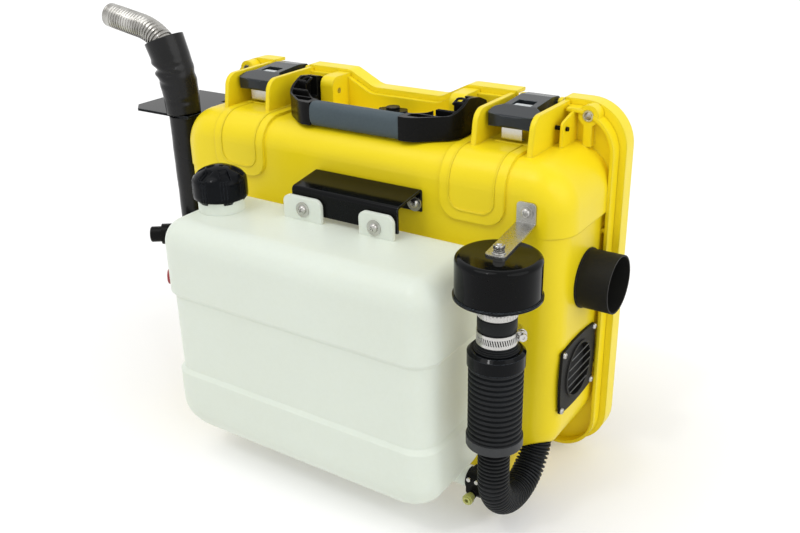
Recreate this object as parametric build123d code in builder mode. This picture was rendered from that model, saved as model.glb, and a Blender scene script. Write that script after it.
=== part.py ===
"""Portable diesel air heater in a moulded carrying case.

Millimetres, +Z up. The case stands on the floor, Z = 0. Y = 0 is the plane where
the case's base (towards -Y, with the fuel tank) meets its lid (towards +Y), and
X = 0 is the middle of the case.
"""

from build123d import *
from math import cos, pi, radians, sin
import os

os.makedirs("parts", exist_ok=True)

# ---------------------------------------------------------------- dimensions
# Case body
case_half_width = 240.0
case_floor = 49.0
case_top = 366.0
base_depth = 114.0
lid_depth = 60.0
case_wall = 3.5
body_corner_r = 40.0
front_edge_r = 28.0
lid_edge_r = 22.0
parting_gap = 0.6

# Rims of the two halves
rim_half_width = case_half_width + 8.0
rim_bottom = 13.0
rim_top = case_top + 33.0
rim_corner_r = 43.0
rim_depth = 16.0
rim_plate = 6.0
rim_lip = 3.5
lid_rim_half_width = case_half_width + 15.0
lid_rim_top = case_top + 39.0
lid_rim_corner_r = 45.0
lid_rim_depth = 20.0
lid_rim_plate = 4.6
scoop_flat_half = 44.0
scoop_shoulder_half = 77.0
scoop_drop = 16.5
seal_width = 5.0
seal_height = 2.5

# Pads moulded on the base
pad_rise = 4.5
corner_pad_inner = case_half_width - 37.0
corner_pad_bottom = case_top - 67.0
latch_pad_rise = 3.0
latch_pad_half = 35.5
latch_pad_shift = 13.5
latch_pad_line = 10.0
latch_pad_line_width = 1.8
latch_pad_bottom = case_top - 63.0

# Hinges and feet
hinge_z = 6.0
hinge_pin_r = 2.0
knuckle_r = 5.5
knuckle_count = 5
hinge_inner = 50.0
hinge_length = 70.0
knuckle_gap = 0.4
running = 0.05
foot_inner = case_half_width - 104.0
foot_width = 50.0
foot_front = -base_depth + 22.0
foot_back = -20.0
lid_foot_front = 22.0
lid_foot_back = 52.0

# Latches
latch_x = case_half_width - 79.0
ear_inner = 27.5
ear_thick = 5.5
ear_top = case_top + 37.0
latch_notch_z = case_top + 7.5
lever_pivot_y = 6.0
lever_pivot_z = case_top + 31.0
lever_half = 25.0
lever_neck_half = 17.0
lever_boss_r = 6.5
latch_pin_r = 2.0
lug_inner = 19.0
lug_thick = 5.0
claw_half = 11.0
claw_sheet = 1.6
claw_pivot_y = -52.0
claw_pivot_z = case_top + 22.5
claw_eye_r = 3.4
claw_pin_r = 1.6
slider_size = (20.0, 11.0, 5.0)
slider_travel = 5.0
catch_pin_r = 2.2
catch_pin_y = -33.0
catch_pin_z = case_top + 17.0
padlock_x = case_half_width - 21.0
padlock_z = case_top + 28.0
padlock_boss_r = 10.5
padlock_bore_r = 4.0
padlock_ring_r = 5.5

# Handle
handle_pivot_y = -23.0
handle_pivot_z = case_top + 20.0
handle_pin_r = 3.0
handle_half = case_half_width - 132.0
handle_arm = 13.0
handle_front = -102.0
handle_bar = 17.0
handle_low = case_top + 1.5
handle_arm_wall = 3.0
handle_rib = 1.8
handle_ribs = (-82.0, -69.0, -56.0)
handle_bar_top = case_top + 26.0
grip_half = 56.0
grip_wall = 2.5
lug_x = handle_half - 24.5
handle_lug_width = 17.0

# Tank bracket and tank
tank_right = case_half_width - 63.0
bracket_left = tank_right - 214.5
bracket_right = tank_right - 85.6
bracket_sheet = 2.5
bracket_reach = 44.0
bracket_top = case_top - 40.0
bracket_screw_z = case_top - 55.0
bracket_screws = (tank_right - 207.0, tank_right - 93.0)
screw_r = 2.6
washer_r = 8.0
tank_left = tank_right - 333.5
tank_back = -base_depth - 4.0
tank_front = tank_back - 127.0
tank_bottom = 32.0
tank_top = case_top - 78.0
tank_edge_r = 27.0
tank_bottom_r = 44.0
tank_wall = 3.0
tank_waist = (118.0, 204.0)
tank_step = 3.5
tank_step_slope = 5.0
tab_thick = 4.0
tab_front = -base_depth - 51.0
tab_top = case_top - 53.0
tabs = ((tank_left + 111.5, tank_left + 159.5), (tank_left + 206.1, tank_left + 246.5))
tab_bolts = ((tank_left + 136.5, case_top - 66.0), (tank_left + 224.5, case_top - 68.0))
neck_x = tank_left + 38.5
neck_y = tank_front + 65.0
neck_r = 24.5
neck_bore_r = 21.0
neck_top = tank_top + 20.0
cap_r = 29.0
cap_bottom = tank_top + 13.5
cap_top = tank_top + 49.0
cap_ribs = 12

# Drain cock
cock_y = tank_front + 85.0
cock_z = tank_bottom + 12.0
cock_r = 11.0

# Combustion-air intake, on one upright axis
intake_x = case_half_width - 23.0
intake_y = -base_depth - 76.0
can_bottom = 273.0
can_top = 312.0
can_r = 39.0
can_rim_r = 40.5
can_sheet = 1.2
strap_width = 19.7
strap_sheet = 2.0
strap_x = case_half_width - 34.3
strap_screw_z = can_top + 12.0
can_bolt_r = 3.0
neck_tube_r = 17.5
neck_tube_bore = 13.0
clamp_bottom = 228.0
clamp_height = 12.0
clamp_sheet = 1.2
silencer_top = 221.0
collar_top_length = 16.0
silencer_ribs = 14
silencer_rib_pitch = 5.4
silencer_r = 25.5
silencer_valley_r = 23.0
collar_r = 27.0
collar_low_length = 14.0
hose_r = 15.5
hose_valley_r = 13.6
hose_bore_r = 12.0
hose_bend_r = 49.0
hose_centre_z = 79.5
hose_pitch = 5.1
hose_hole_gap = 0.8

# Hot-air outlet and vent
duct_y = -base_depth / 2 + 13.0
duct_z = 238.0
duct_r = 30.0
duct_wall = 1.6
duct_reach = case_half_width + 34.0
duct_flange_r = 36.0
duct_root = 1.0
duct_root_length = 1.5
vent_y = duct_y - 14.0
vent_z = 142.0
vent_width = 84.0
vent_height = 76.0
vent_plate_thick = 3.0
vent_ring_r = 31.0
vent_slats = 5
vent_slat = 1.4
vent_screw_dx = 37.0
vent_screw_dz = 32.0
vent_screw_r = 1.6

# Exhaust
exhaust_x = -case_half_width - 26.0
exhaust_y = -base_depth + 34.0
exhaust_wall_z = 105.0
elbow_r = 13.0
elbow_bore_r = 11.5
elbow_bend_r = 22.0
pipe_r = 14.25
pipe_valley_r = 13.2
pipe_bore_r = 12.2
pipe_start_z = 150.0
pipe_bend_z = case_top + 16.0
pipe_bend_r = 66.0
pipe_bend_angle = 80.0
pipe_tail = 52.0
pipe_rib_pitch = 4.6
pipe_crest_r = 13.9
pipe_cuff = 16.0
sleeve_wall = 1.6
sleeve_low_r = 20.0
sleeve_low_bottom = 176.0
exhaust_plate_z = case_top - 16.0
exhaust_plate_sheet = 3.0
exhaust_plate_left = -case_half_width - 103.0
plate_screws = ((-49.0, exhaust_plate_z - 14.0), (-30.0, exhaust_plate_z - 14.0))
exhaust_plate_front = -base_depth + 19.0
exhaust_plate_back = 12.0
sleeve_up_r = 21.0
sleeve_mouth_r = 24.0

# Connectors on the front left corner
connector_zs = (209.0, 152.0)
plug_barrels = (30.0, 20.0)
plug_tips = (14.0, 10.0)
connector_angle = 36.0
connector_r = 12.5

# Heater unit inside
heater_half = case_half_width - 90.0
heater_width = base_depth + 1.0
heater_height = 122.0
heater_wall = 2.5
heater_corner_r = 24.0
bench_z = 172.0
bench_half = heater_half - 12.0
bench_sheet = 2.0
shaft_r = 4.0
motor_r = 29.0
exchanger_r = 34.0
exchanger_fins = 18
pump_x = -case_half_width + 60.0
pump_y = duct_y - 6.0


def at_x(x):
    """Upright plane facing +X, drawn in (Y, Z)."""
    return Plane.YZ.offset(x)


def at_y(y):
    """Upright plane facing -Y, drawn in (X, Z)."""
    return Plane.XZ.offset(-y)


def at_z(z):
    """Level plane drawn in (X, Y)."""
    return Plane.XY.offset(z)


vent_screws_at = [
    (vent_y + i * vent_screw_dx, vent_z + j * vent_screw_dz) for i in (-1, 1) for j in (-1, 1)
]
body_mid_z = (case_floor + case_top) / 2
body_height = case_top - case_floor


# ---------------------------------------------------------------- case
def case_form(depth, grow, edge_r, back=False):
    """Round-edged block of one case half, grown or shrunk by grow."""
    with BuildPart() as form:
        with BuildSketch(at_y(parting_gap if back else 0)):
            with Locations((0, body_mid_z)):
                RectangleRounded(
                    2 * (case_half_width + grow),
                    body_height + 2 * grow,
                    body_corner_r + grow,
                )
        extrude(amount=-(depth + grow) if back else depth + grow)
        far_face = form.faces().sort_by(Axis.Y)[-1 if back else 0]
        fillet(far_face.edges(), edge_r + grow)
    return form.part


def rim_outline(half_width, bottom, top, corner_r):
    """Closed outline of a rim, with the scoop in its top edge."""
    points = [
        (-half_width, bottom),
        (half_width, bottom),
        (half_width, top),
        (scoop_shoulder_half, top),
        (scoop_flat_half, top - scoop_drop),
        (-scoop_flat_half, top - scoop_drop),
        (-scoop_shoulder_half, top),
        (-half_width, top),
    ]
    radii = [corner_r] * 3 + [14.0, 22.0, 22.0, 14.0, corner_r]
    FilletPolyline(*points, radius=radii, close=True)


def rim(y, thick, half_width, bottom, top, corner_r, inner=0.0):
    """Plate in the rim's outline, or only its edge band if inner is given."""
    with BuildPart() as plate:
        with BuildSketch(at_y(y)):
            with BuildLine():
                rim_outline(half_width, bottom, top, corner_r)
            make_face()
            if inner:
                with BuildLine():
                    rim_outline(
                        half_width - inner, bottom + inner, top - inner, corner_r - inner
                    )
                make_face(mode=Mode.SUBTRACT)
        extrude(amount=thick)
    return plate.part


def corner_pads():
    """Pads round the top corners, flush with the front and proud of the side walls."""
    with BuildPart() as pads:
        with BuildSketch(at_y(0)):
            with Locations((0, body_mid_z - pad_rise / 2)):
                RectangleRounded(
                    2 * (case_half_width + pad_rise), body_height + pad_rise, body_corner_r + pad_rise
                )
        extrude(amount=base_depth)
        fillet(pads.faces().sort_by(Axis.Y)[0].edges(), front_edge_r + pad_rise)
        with BuildSketch(at_y(0)):
            width = case_half_width + 2 * pad_rise - corner_pad_inner
            height = 2 * (case_top - corner_pad_bottom)
            for side in (-1, 1):
                with Locations((side * (corner_pad_inner + width / 2), case_top)):
                    Rectangle(width, height)
        extrude(amount=base_depth, mode=Mode.INTERSECT)
    return pads.part


def latch_pads(rise, shrink, line=False):
    """Pads under the latches, over the front and the top edge, or the line on them."""
    with BuildPart() as pads:
        add(case_form(base_depth, rise, front_edge_r))
        with BuildSketch(at_y(0)):
            height = 2 * (case_top - latch_pad_bottom - shrink)
            for side in (-1, 1):
                for inset in (0, latch_pad_line_width) if line else (0,):
                    with Locations((side * latch_x - side * latch_pad_shift, case_top)):
                        RectangleRounded(
                            2 * (latch_pad_half - shrink - inset), height - 2 * inset,
                            20 - inset - shrink / 2, mode=Mode.SUBTRACT if inset else Mode.ADD,
                        )
        extrude(amount=base_depth + 2 * rise, mode=Mode.INTERSECT)
    return pads.part


def knuckle_starts(first):
    """Left ends of every second knuckle of one hinge, from the given one."""
    step = hinge_length / knuckle_count
    return [hinge_inner + step * i for i in range(first, knuckle_count, 2)]


knuckle_length = hinge_length / knuckle_count - knuckle_gap

with BuildPart() as case_base:
    add(case_form(base_depth, 0, front_edge_r))
    add(corner_pads())
    add(latch_pads(latch_pad_rise, 0))
    add(latch_pads(latch_pad_rise + 0.9, latch_pad_line, line=True))
    add(rim(0, rim_plate, rim_half_width, rim_bottom, rim_top, rim_corner_r))
    add(rim(-rim_plate, rim_depth - rim_plate, rim_half_width, rim_bottom, rim_top,
            rim_corner_r, rim_lip))
    # No lip in front of the latches and the handle
    with BuildSketch(at_y(-rim_plate)):
        with Locations((0, (case_top + rim_top) / 2 + 5)):
            Rectangle(2 * (latch_x + ear_inner + 8), rim_top - case_top + 8)
    extrude(amount=rim_depth, mode=Mode.SUBTRACT)
    for side in (-1, 1):
        # Ribs across the side channel
        with BuildSketch(at_y(0)):
            for z in (124.0, 278.0):
                with Locations((side * (case_half_width + 4), z)):
                    Rectangle(7, 4)
        extrude(amount=rim_depth - 2)
        # Ears on both sides of the latch
        for ear in (-1, 1):
            start = side * latch_x + ear * (ear_inner + ear_thick / 2) - ear_thick / 2
            with BuildSketch(at_x(start)):
                with BuildLine():
                    FilletPolyline(
                        (0, case_top - 30), (-86, case_top - 12), (-78, ear_top), (0, ear_top),
                        radius=[0, 3, 15, 0], close=True,
                    )
                make_face()
            extrude(amount=ear_thick)
        # Catch ledge under the claw
        with BuildSketch(at_x(side * latch_x)):
            with Locations((-45, case_top)):
                Rectangle(30, 8)
        extrude(amount=claw_half + 8, both=True)
        # Padlock boss in the corner, with the wall behind it
        with BuildSketch(at_y(0)):
            with Locations((side * padlock_x, padlock_z - 1)):
                Circle(padlock_boss_r)
            with Locations((side * padlock_x, case_top + 8)):
                Rectangle(9, 24)
        extrude(amount=rim_depth - 2)
        # Rib that carries the outer end of the catch pin
        with BuildSketch(at_x(side * (latch_x + ear_inner + 15) - 1.5)):
            with BuildLine():
                FilletPolyline(
                    (0, case_top - 10), (-42, case_top - 10), (-40, case_top + 24),
                    (-20, case_top + 29), (0, case_top + 32),
                    radius=[0, 0, 5, 5, 0], close=True,
                )
            make_face()
        extrude(amount=3)
        # Handle lug
        with BuildSketch(at_x(side * lug_x)):
            with BuildLine():
                FilletPolyline(
                    (0, case_top - 6), (-35, case_top - 6), (-35, case_top + 36), (0, case_top + 36),
                    radius=[0, 0, 10, 0], close=True,
                )
            make_face()
        extrude(amount=handle_lug_width / 2, both=True)
        # Foot
        with BuildSketch(at_x(side * (foot_inner + foot_width / 2))):
            with BuildLine():
                FilletPolyline(
                    (foot_front - 4, case_floor + 4), (foot_front, 0), (foot_back, 0),
                    (foot_back, case_floor + 4),
                    radius=[0, 6, 6, 0], close=True,
                )
            make_face()
        extrude(amount=foot_width / 2, both=True)
        # Base knuckles with their arms
        for start in knuckle_starts(0):
            left = start if side > 0 else -start - knuckle_length
            with BuildSketch(at_x(left)):
                with Locations((0, hinge_z)):
                    Circle(knuckle_r)
                with Locations((-rim_plate / 2, hinge_z + 4)):
                    Rectangle(rim_plate, 9)
            extrude(amount=knuckle_length)
    add(case_form(base_depth, -case_wall, front_edge_r), mode=Mode.SUBTRACT)
    for side in (-1, 1):
        # Notch in the rim for the claw
        with BuildSketch(at_y(0)):
            with Locations((side * latch_x, latch_notch_z + 20)):
                Rectangle(2 * ear_inner, 40)
        extrude(amount=rim_depth, mode=Mode.SUBTRACT)
        # Clearance round the lid's knuckles
        for start in knuckle_starts(1):
            left = start if side > 0 else -start - knuckle_length
            with BuildSketch(at_x(left - knuckle_gap)):
                with Locations((0, hinge_z)):
                    Circle(knuckle_r + 1.2)
            extrude(amount=knuckle_length + 2 * knuckle_gap, mode=Mode.SUBTRACT)
        # Bores: catch pin, padlock, handle pins, hinge pin
        with BuildSketch(at_x(side * (latch_x + ear_inner))):
            with Locations((catch_pin_y, catch_pin_z)):
                Circle(catch_pin_r)
        extrude(amount=side * 22, mode=Mode.SUBTRACT)
        with BuildSketch(at_y(0)):
            with Locations((side * padlock_x, padlock_z - 1)):
                Circle(padlock_ring_r)
        extrude(amount=rim_depth, mode=Mode.SUBTRACT)
        with BuildSketch(at_x(side * lug_x)):
            with Locations((handle_pivot_y, handle_pivot_z)):
                Circle(handle_pin_r)
        extrude(amount=handle_lug_width, both=True, mode=Mode.SUBTRACT)
        with BuildSketch(at_x(side * (hinge_inner + hinge_length / 2))):
            with Locations((0, hinge_z)):
                Circle(hinge_pin_r)
        extrude(amount=hinge_length / 2, both=True, mode=Mode.SUBTRACT)
    # Screw holes for the bracket, the strap, the exhaust plate and the vent
    with BuildSketch(at_y(-base_depth + 2 * case_wall)):
        with Locations(*[(x, bracket_screw_z) for x in bracket_screws]):
            Circle(screw_r)
        with Locations((strap_x, strap_screw_z)):
            Circle(screw_r)
    extrude(amount=20, mode=Mode.SUBTRACT)
    with BuildSketch(at_x(-case_half_width + 2 * case_wall)):
        with Locations(*plate_screws):
            Circle(screw_r)
    extrude(amount=-20, mode=Mode.SUBTRACT)
    with BuildSketch(at_x(case_half_width - 2 * case_wall)):
        with Locations(*vent_screws_at):
            Circle(vent_screw_r)
    extrude(amount=20, mode=Mode.SUBTRACT)
    # Hot-air hole and vent hole in the right wall
    with BuildSketch(at_x(case_half_width - 2 * case_wall)):
        with Locations((duct_y, duct_z)):
            Circle(duct_r + duct_root)
        with Locations((vent_y, vent_z)):
            Circle(vent_ring_r)
    extrude(amount=20, mode=Mode.SUBTRACT)
    # Exhaust hole in the left wall
    with BuildSketch(at_x(-case_half_width + 2 * case_wall)):
        with Locations((exhaust_y, exhaust_wall_z)):
            Circle(elbow_r)
    extrude(amount=-20, mode=Mode.SUBTRACT)
    # The intake hose comes up through the underside
    with BuildSketch(Plane.XZ.offset(-intake_y - hose_bend_r)):
        with Locations((intake_x, hose_centre_z - hose_bend_r)):
            Circle(hose_r + hose_hole_gap)
    with BuildLine(at_x(intake_x)):
        hose_arc = CenterArc((intake_y + hose_bend_r, hose_centre_z), hose_bend_r, 270, 90)
    sweep(path=hose_arc.edge(), mode=Mode.SUBTRACT)
case_base.part.label = "case_base"
export_step(case_base.part, "parts/case_base.step")

with BuildPart() as case_lid:
    add(case_form(lid_depth, 0, lid_edge_r, back=True))
    add(rim(lid_rim_plate + parting_gap, lid_rim_plate, lid_rim_half_width, rim_bottom,
            lid_rim_top, lid_rim_corner_r))
    add(rim(lid_rim_depth, lid_rim_depth - lid_rim_plate, lid_rim_half_width, rim_bottom,
            lid_rim_top, lid_rim_corner_r, rim_lip))
    add(case_form(lid_depth, -case_wall, lid_edge_r, back=True), mode=Mode.SUBTRACT)
    for side in (-1, 1):
        # Gap in the rim where the lever sits and swings
        with BuildSketch(at_y(lid_rim_depth + 2)):
            with Locations((side * latch_x, lever_pivot_z + 4)):
                Rectangle(2 * (ear_inner - 1), 24)
        extrude(amount=lid_rim_depth + 4, mode=Mode.SUBTRACT)
        # Lugs that hold the lever's pin
        for lug in (-1, 1):
            start = side * latch_x + lug * (lug_inner + lug_thick / 2) - lug_thick / 2
            with BuildSketch(at_x(start)):
                with BuildLine():
                    FilletPolyline(
                        (parting_gap, case_top + 6), (16, case_top + 6), (13, case_top + 36.5),
                        (parting_gap, case_top + 36.5),
                        radius=[0, 0, 5, 4], close=True,
                    )
                make_face()
            extrude(amount=lug_thick)
        # Foot
        with BuildSketch(at_x(side * (foot_inner + foot_width / 2))):
            with BuildLine():
                FilletPolyline(
                    (lid_foot_front, case_floor + 6), (lid_foot_front, 0), (lid_foot_back, 0),
                    (lid_foot_back, case_floor + 6),
                    radius=[0, 6, 6, 0], close=True,
                )
            make_face()
        extrude(amount=foot_width / 2, both=True)
        # Lid knuckles with their arms
        for start in knuckle_starts(1):
            left = start if side > 0 else -start - knuckle_length
            with BuildSketch(at_x(left)):
                with Locations((0, hinge_z)):
                    Circle(knuckle_r)
                with Locations((parting_gap + lid_rim_plate / 2, hinge_z + 5)):
                    Rectangle(lid_rim_plate, 10)
            extrude(amount=knuckle_length)
        # Clearance round the base's knuckles
        for start in knuckle_starts(0):
            left = start if side > 0 else -start - knuckle_length
            with BuildSketch(at_x(left - knuckle_gap)):
                with Locations((0, hinge_z)):
                    Circle(knuckle_r + 1.2)
            extrude(amount=knuckle_length + 2 * knuckle_gap, mode=Mode.SUBTRACT)
        # Bores for the lever's pin, the hinge pin and the padlock
        with BuildSketch(at_x(side * latch_x)):
            with Locations((lever_pivot_y, lever_pivot_z)):
                Circle(latch_pin_r)
        extrude(amount=lug_inner + lug_thick, both=True, mode=Mode.SUBTRACT)
        with BuildSketch(at_x(side * (hinge_inner + hinge_length / 2))):
            with Locations((0, hinge_z)):
                Circle(hinge_pin_r + running)
        extrude(amount=hinge_length / 2, both=True, mode=Mode.SUBTRACT)
        with BuildSketch(at_y(lid_rim_plate + 1)):
            with Locations((side * padlock_x, padlock_z - 1)):
                Circle(padlock_bore_r)
        extrude(amount=lid_rim_plate + 1, mode=Mode.SUBTRACT)
    # Groove for the seal
    with BuildSketch(at_y(parting_gap + seal_height)):
        with Locations((0, body_mid_z)):
            RectangleRounded(2 * (case_half_width + 2), body_height + 4, body_corner_r + 2)
            RectangleRounded(
                2 * (case_half_width + 2 - seal_width),
                body_height + 4 - 2 * seal_width,
                body_corner_r + 2 - seal_width,
                mode=Mode.SUBTRACT,
            )
    extrude(amount=seal_height + parting_gap, mode=Mode.SUBTRACT)
case_lid.part.label = "case_lid"
export_step(case_lid.part, "parts/case_lid.step")

with BuildPart() as lid_seal:
    with BuildSketch(at_y(parting_gap + seal_height)):
        with Locations((0, body_mid_z)):
            RectangleRounded(2 * (case_half_width + 2), body_height + 4, body_corner_r + 2)
            RectangleRounded(
                2 * (case_half_width + 2 - seal_width),
                body_height + 4 - 2 * seal_width,
                body_corner_r + 2 - seal_width,
                mode=Mode.SUBTRACT,
            )
    extrude(amount=seal_height + parting_gap)
lid_seal.part.label = "lid_seal"
export_step(lid_seal.part, "parts/lid_seal.step")

with BuildPart() as hinge_pins:
    for side in (-1, 1):
        with BuildSketch(at_x(side * (hinge_inner + hinge_length / 2))):
            with Locations((0, hinge_z)):
                Circle(hinge_pin_r)
        extrude(amount=hinge_length / 2 - knuckle_gap, both=True)
hinge_pins.part.label = "hinge_pins"
export_step(hinge_pins.part, "parts/hinge_pins.step")


# ---------------------------------------------------------------- latches
claw_slot_front = -64.0
claw_slot_back = -43.0
slider_y = -38.0
slider_floor = case_top + 28.5

for side, name in ((-1, "left"), (1, "right")):
    x = side * latch_x

    with BuildPart() as lever:
        with BuildSketch(at_x(x)):
            with BuildLine():
                FilletPolyline(
                    (lever_pivot_y + lever_boss_r - 3, lever_pivot_z - lever_boss_r),
                    (lever_pivot_y + lever_boss_r, lever_pivot_z),
                    (lever_pivot_y + 2, lever_pivot_z + lever_boss_r),
                    (-8, case_top + 39.5), (-44, case_top + 37), (-69, case_top + 32),
                    (-68, case_top + 19), (-50, case_top + 22), (-36, case_top + 26),
                    radius=[2, 2, 2, 6, 30, 3, 3, 3, 8], close=True,
                )
            make_face()
        extrude(amount=lever_half, both=True)
        # Narrower towards the pivot, convex at the finger bar
        with BuildSketch(at_z(case_top + 14)):
            with BuildLine():
                FilletPolyline(
                    (x - lever_neck_half, 20), (x - lever_neck_half, -44),
                    (x - lever_half, -52), (x - lever_half, -66), (x, -69.5),
                    (x + lever_half, -66), (x + lever_half, -52),
                    (x + lever_neck_half, -44), (x + lever_neck_half, 20),
                    radius=[0, 3, 4, 4, 60, 4, 4, 3, 0], close=True,
                )
            make_face()
        extrude(amount=40, mode=Mode.INTERSECT)
        # Slot for the claw below, window for the slider above
        with BuildSketch(at_z(case_top + 14)):
            with Locations((x, (claw_slot_front + claw_slot_back) / 2)):
                Rectangle(2 * claw_half + 2, claw_slot_back - claw_slot_front)
        extrude(amount=13, mode=Mode.SUBTRACT)
        with BuildSketch(at_z(slider_floor)):
            with Locations((x, slider_y + slider_travel / 2)):
                Rectangle(slider_size[0] + 0.8, slider_size[1] + slider_travel + 0.8)
        extrude(amount=15, mode=Mode.SUBTRACT)
        with BuildSketch(at_x(x)):
            with Locations((lever_pivot_y, lever_pivot_z)):
                Circle(latch_pin_r + running)
        extrude(amount=lever_half, both=True, mode=Mode.SUBTRACT)
        # The claw's pin, cast in across the slot
        with BuildSketch(at_x(x)):
            with Locations((claw_pivot_y, claw_pivot_z)):
                Circle(claw_pin_r)
        extrude(amount=claw_half + 3, both=True)
    lever.part.label = f"latch_lever_{name}"
    export_step(lever.part, f"parts/latch_lever_{name}.step")

    with BuildPart() as slider:
        with BuildSketch(at_z(slider_floor)):
            with Locations((x, slider_y)):
                Rectangle(slider_size[0], slider_size[1])
        extrude(amount=slider_size[2])
        fillet(slider.faces().sort_by(Axis.Z)[-1].edges(), 1.0)
    slider.part.label = f"latch_slider_{name}"
    export_step(slider.part, f"parts/latch_slider_{name}.step")

    with BuildPart() as claw:
        with BuildSketch(at_x(x)):
            with BuildLine():
                FilletPolyline(
                    (claw_pivot_y, claw_pivot_z + claw_eye_r - claw_sheet / 2),
                    (-60.5, claw_pivot_z + 1), (-60.5, case_top + 7), (-54, case_top + 7),
                    radius=[2, 1.2],
                )
            trace(line_width=claw_sheet)
            with Locations((claw_pivot_y, claw_pivot_z)):
                Circle(claw_eye_r)
        extrude(amount=claw_half, both=True)
        with BuildSketch(at_x(x)):
            with Locations((claw_pivot_y, claw_pivot_z)):
                Circle(claw_pin_r + running)
        extrude(amount=claw_half, both=True, mode=Mode.SUBTRACT)
    claw.part.label = f"latch_claw_{name}"
    export_step(claw.part, f"parts/latch_claw_{name}.step")

with BuildPart() as latch_pins:
    for side in (-1, 1):
        with BuildSketch(at_x(side * latch_x)):
            with Locations((lever_pivot_y, lever_pivot_z)):
                Circle(latch_pin_r)
        extrude(amount=lug_inner + lug_thick, both=True)
latch_pins.part.label = "latch_pins"
export_step(latch_pins.part, "parts/latch_pins.step")

with BuildPart() as catch_pins:
    for side in (-1, 1):
        with BuildSketch(at_x(side * (latch_x + ear_inner))):
            with Locations((catch_pin_y, catch_pin_z)):
                Circle(catch_pin_r)
        extrude(amount=side * 19)
catch_pins.part.label = "catch_pins"
export_step(catch_pins.part, "parts/catch_pins.step")

with BuildPart() as padlock_rings:
    for side in (-1, 1):
        with BuildSketch(at_y(0)):
            with Locations((side * padlock_x, padlock_z - 1)):
                Circle(padlock_ring_r)
                Circle(padlock_bore_r, mode=Mode.SUBTRACT)
        extrude(amount=rim_depth - 1)
padlock_rings.part.label = "padlock_rings"
export_step(padlock_rings.part, "parts/padlock_rings.step")


# ---------------------------------------------------------------- handle
def handle_form(inset):
    """The handle's outer form, or its core when inset."""
    arm_y = handle_pivot_y + 10
    with BuildPart() as form:
        with BuildSketch(at_z(handle_low - 10)):
            with BuildLine():
                FilletPolyline(
                    (handle_half - inset, arm_y), (handle_half - inset, -72),
                    (70, handle_front + inset), (-70, handle_front + inset),
                    (-handle_half + inset, -72), (-handle_half + inset, arm_y),
                    (-handle_half + handle_arm + inset, arm_y),
                    (-handle_half + handle_arm + inset, -60),
                    (-62, handle_front + handle_bar - inset),
                    (62, handle_front + handle_bar - inset),
                    (handle_half - handle_arm - inset, -60),
                    (handle_half - handle_arm - inset, arm_y),
                    radius=[0, 26, 26, 26, 26, 0, 0, 14, 14, 14, 14, 0], close=True,
                )
            make_face()
        extrude(amount=60)
        with BuildSketch(at_x(0)):
            with BuildLine():
                FilletPolyline(
                    (handle_front - 2, handle_low + inset), (handle_front - 2, handle_bar_top - inset),
                    (-76, handle_bar_top - inset), (-50, case_top + 39 - inset),
                    (-30, case_top + 36 - inset), (handle_pivot_y + 10, case_top + 29 - inset),
                    (handle_pivot_y + 10, case_top + 11 + inset), (-50, handle_low + inset),
                    radius=[0, 0, 12, 10, 14, 8, 8, 20], close=True,
                )
            make_face()
        extrude(amount=handle_half + 5, both=True, mode=Mode.INTERSECT)
    return form.part


with BuildPart() as grip_zone:
    with BuildSketch(at_x(0)):
        with Locations((handle_front + handle_bar / 2, (handle_low + handle_bar_top) / 2)):
            Rectangle(handle_bar + 10, 40)
    extrude(amount=grip_half, both=True)

# Pockets in the tops of the arms, with ribs across them
with BuildPart() as arm_pockets:
    add(handle_form(handle_arm_wall).moved(Location((0, 0, 2.5 * handle_arm_wall))))
    with BuildSketch(at_z(handle_low)):
        for side in (-1, 1):
            with Locations((side * (grip_half + 6 + handle_half / 2), -66)):
                Rectangle(handle_half, 58)
    extrude(amount=60, mode=Mode.INTERSECT)
    for y in handle_ribs:
        with BuildSketch(at_y(y)):
            with Locations((0, handle_bar_top)):
                Rectangle(3 * handle_half, 60)
        extrude(amount=handle_rib, mode=Mode.SUBTRACT)

with BuildPart() as handle_frame:
    add(handle_form(0))
    add(arm_pockets.part, mode=Mode.SUBTRACT)
    add(grip_zone.part, mode=Mode.SUBTRACT)
    with BuildSketch(at_x(0)):
        with Locations((handle_front + handle_bar / 2, (handle_low + handle_bar_top) / 2)):
            RectangleRounded(
                handle_bar - 2 * grip_wall, handle_bar_top - handle_low - 2 * grip_wall, 3
            )
    extrude(amount=grip_half, both=True)
    for side in (-1, 1):
        with BuildSketch(at_x(side * (handle_half - handle_arm / 2))):
            with Locations((handle_pivot_y, handle_pivot_z)):
                Circle(handle_pin_r + running)
        extrude(amount=handle_arm, both=True, mode=Mode.SUBTRACT)
handle_frame.part.label = "handle_frame"
export_step(handle_frame.part, "parts/handle_frame.step")

with BuildPart() as handle_grip:
    add(handle_form(0))
    add(grip_zone.part, mode=Mode.INTERSECT)
    fillet(handle_grip.edges().filter_by(Axis.X), 6.0)
    with BuildSketch(at_x(0)):
        with Locations((handle_front + handle_bar / 2, (handle_low + handle_bar_top) / 2)):
            RectangleRounded(
                handle_bar - 2 * grip_wall, handle_bar_top - handle_low - 2 * grip_wall, 3
            )
    extrude(amount=grip_half, both=True, mode=Mode.SUBTRACT)
handle_grip.part.label = "handle_grip"
export_step(handle_grip.part, "parts/handle_grip.step")

with BuildPart() as handle_pins:
    for side in (-1, 1):
        with BuildSketch(at_x(side * (lug_x - handle_lug_width / 2))):
            with Locations((handle_pivot_y, handle_pivot_z)):
                Circle(handle_pin_r)
        extrude(amount=side * (handle_half - lug_x + handle_lug_width / 2 - 1))
handle_pins.part.label = "handle_pins"
export_step(handle_pins.part, "parts/handle_pins.step")

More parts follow.
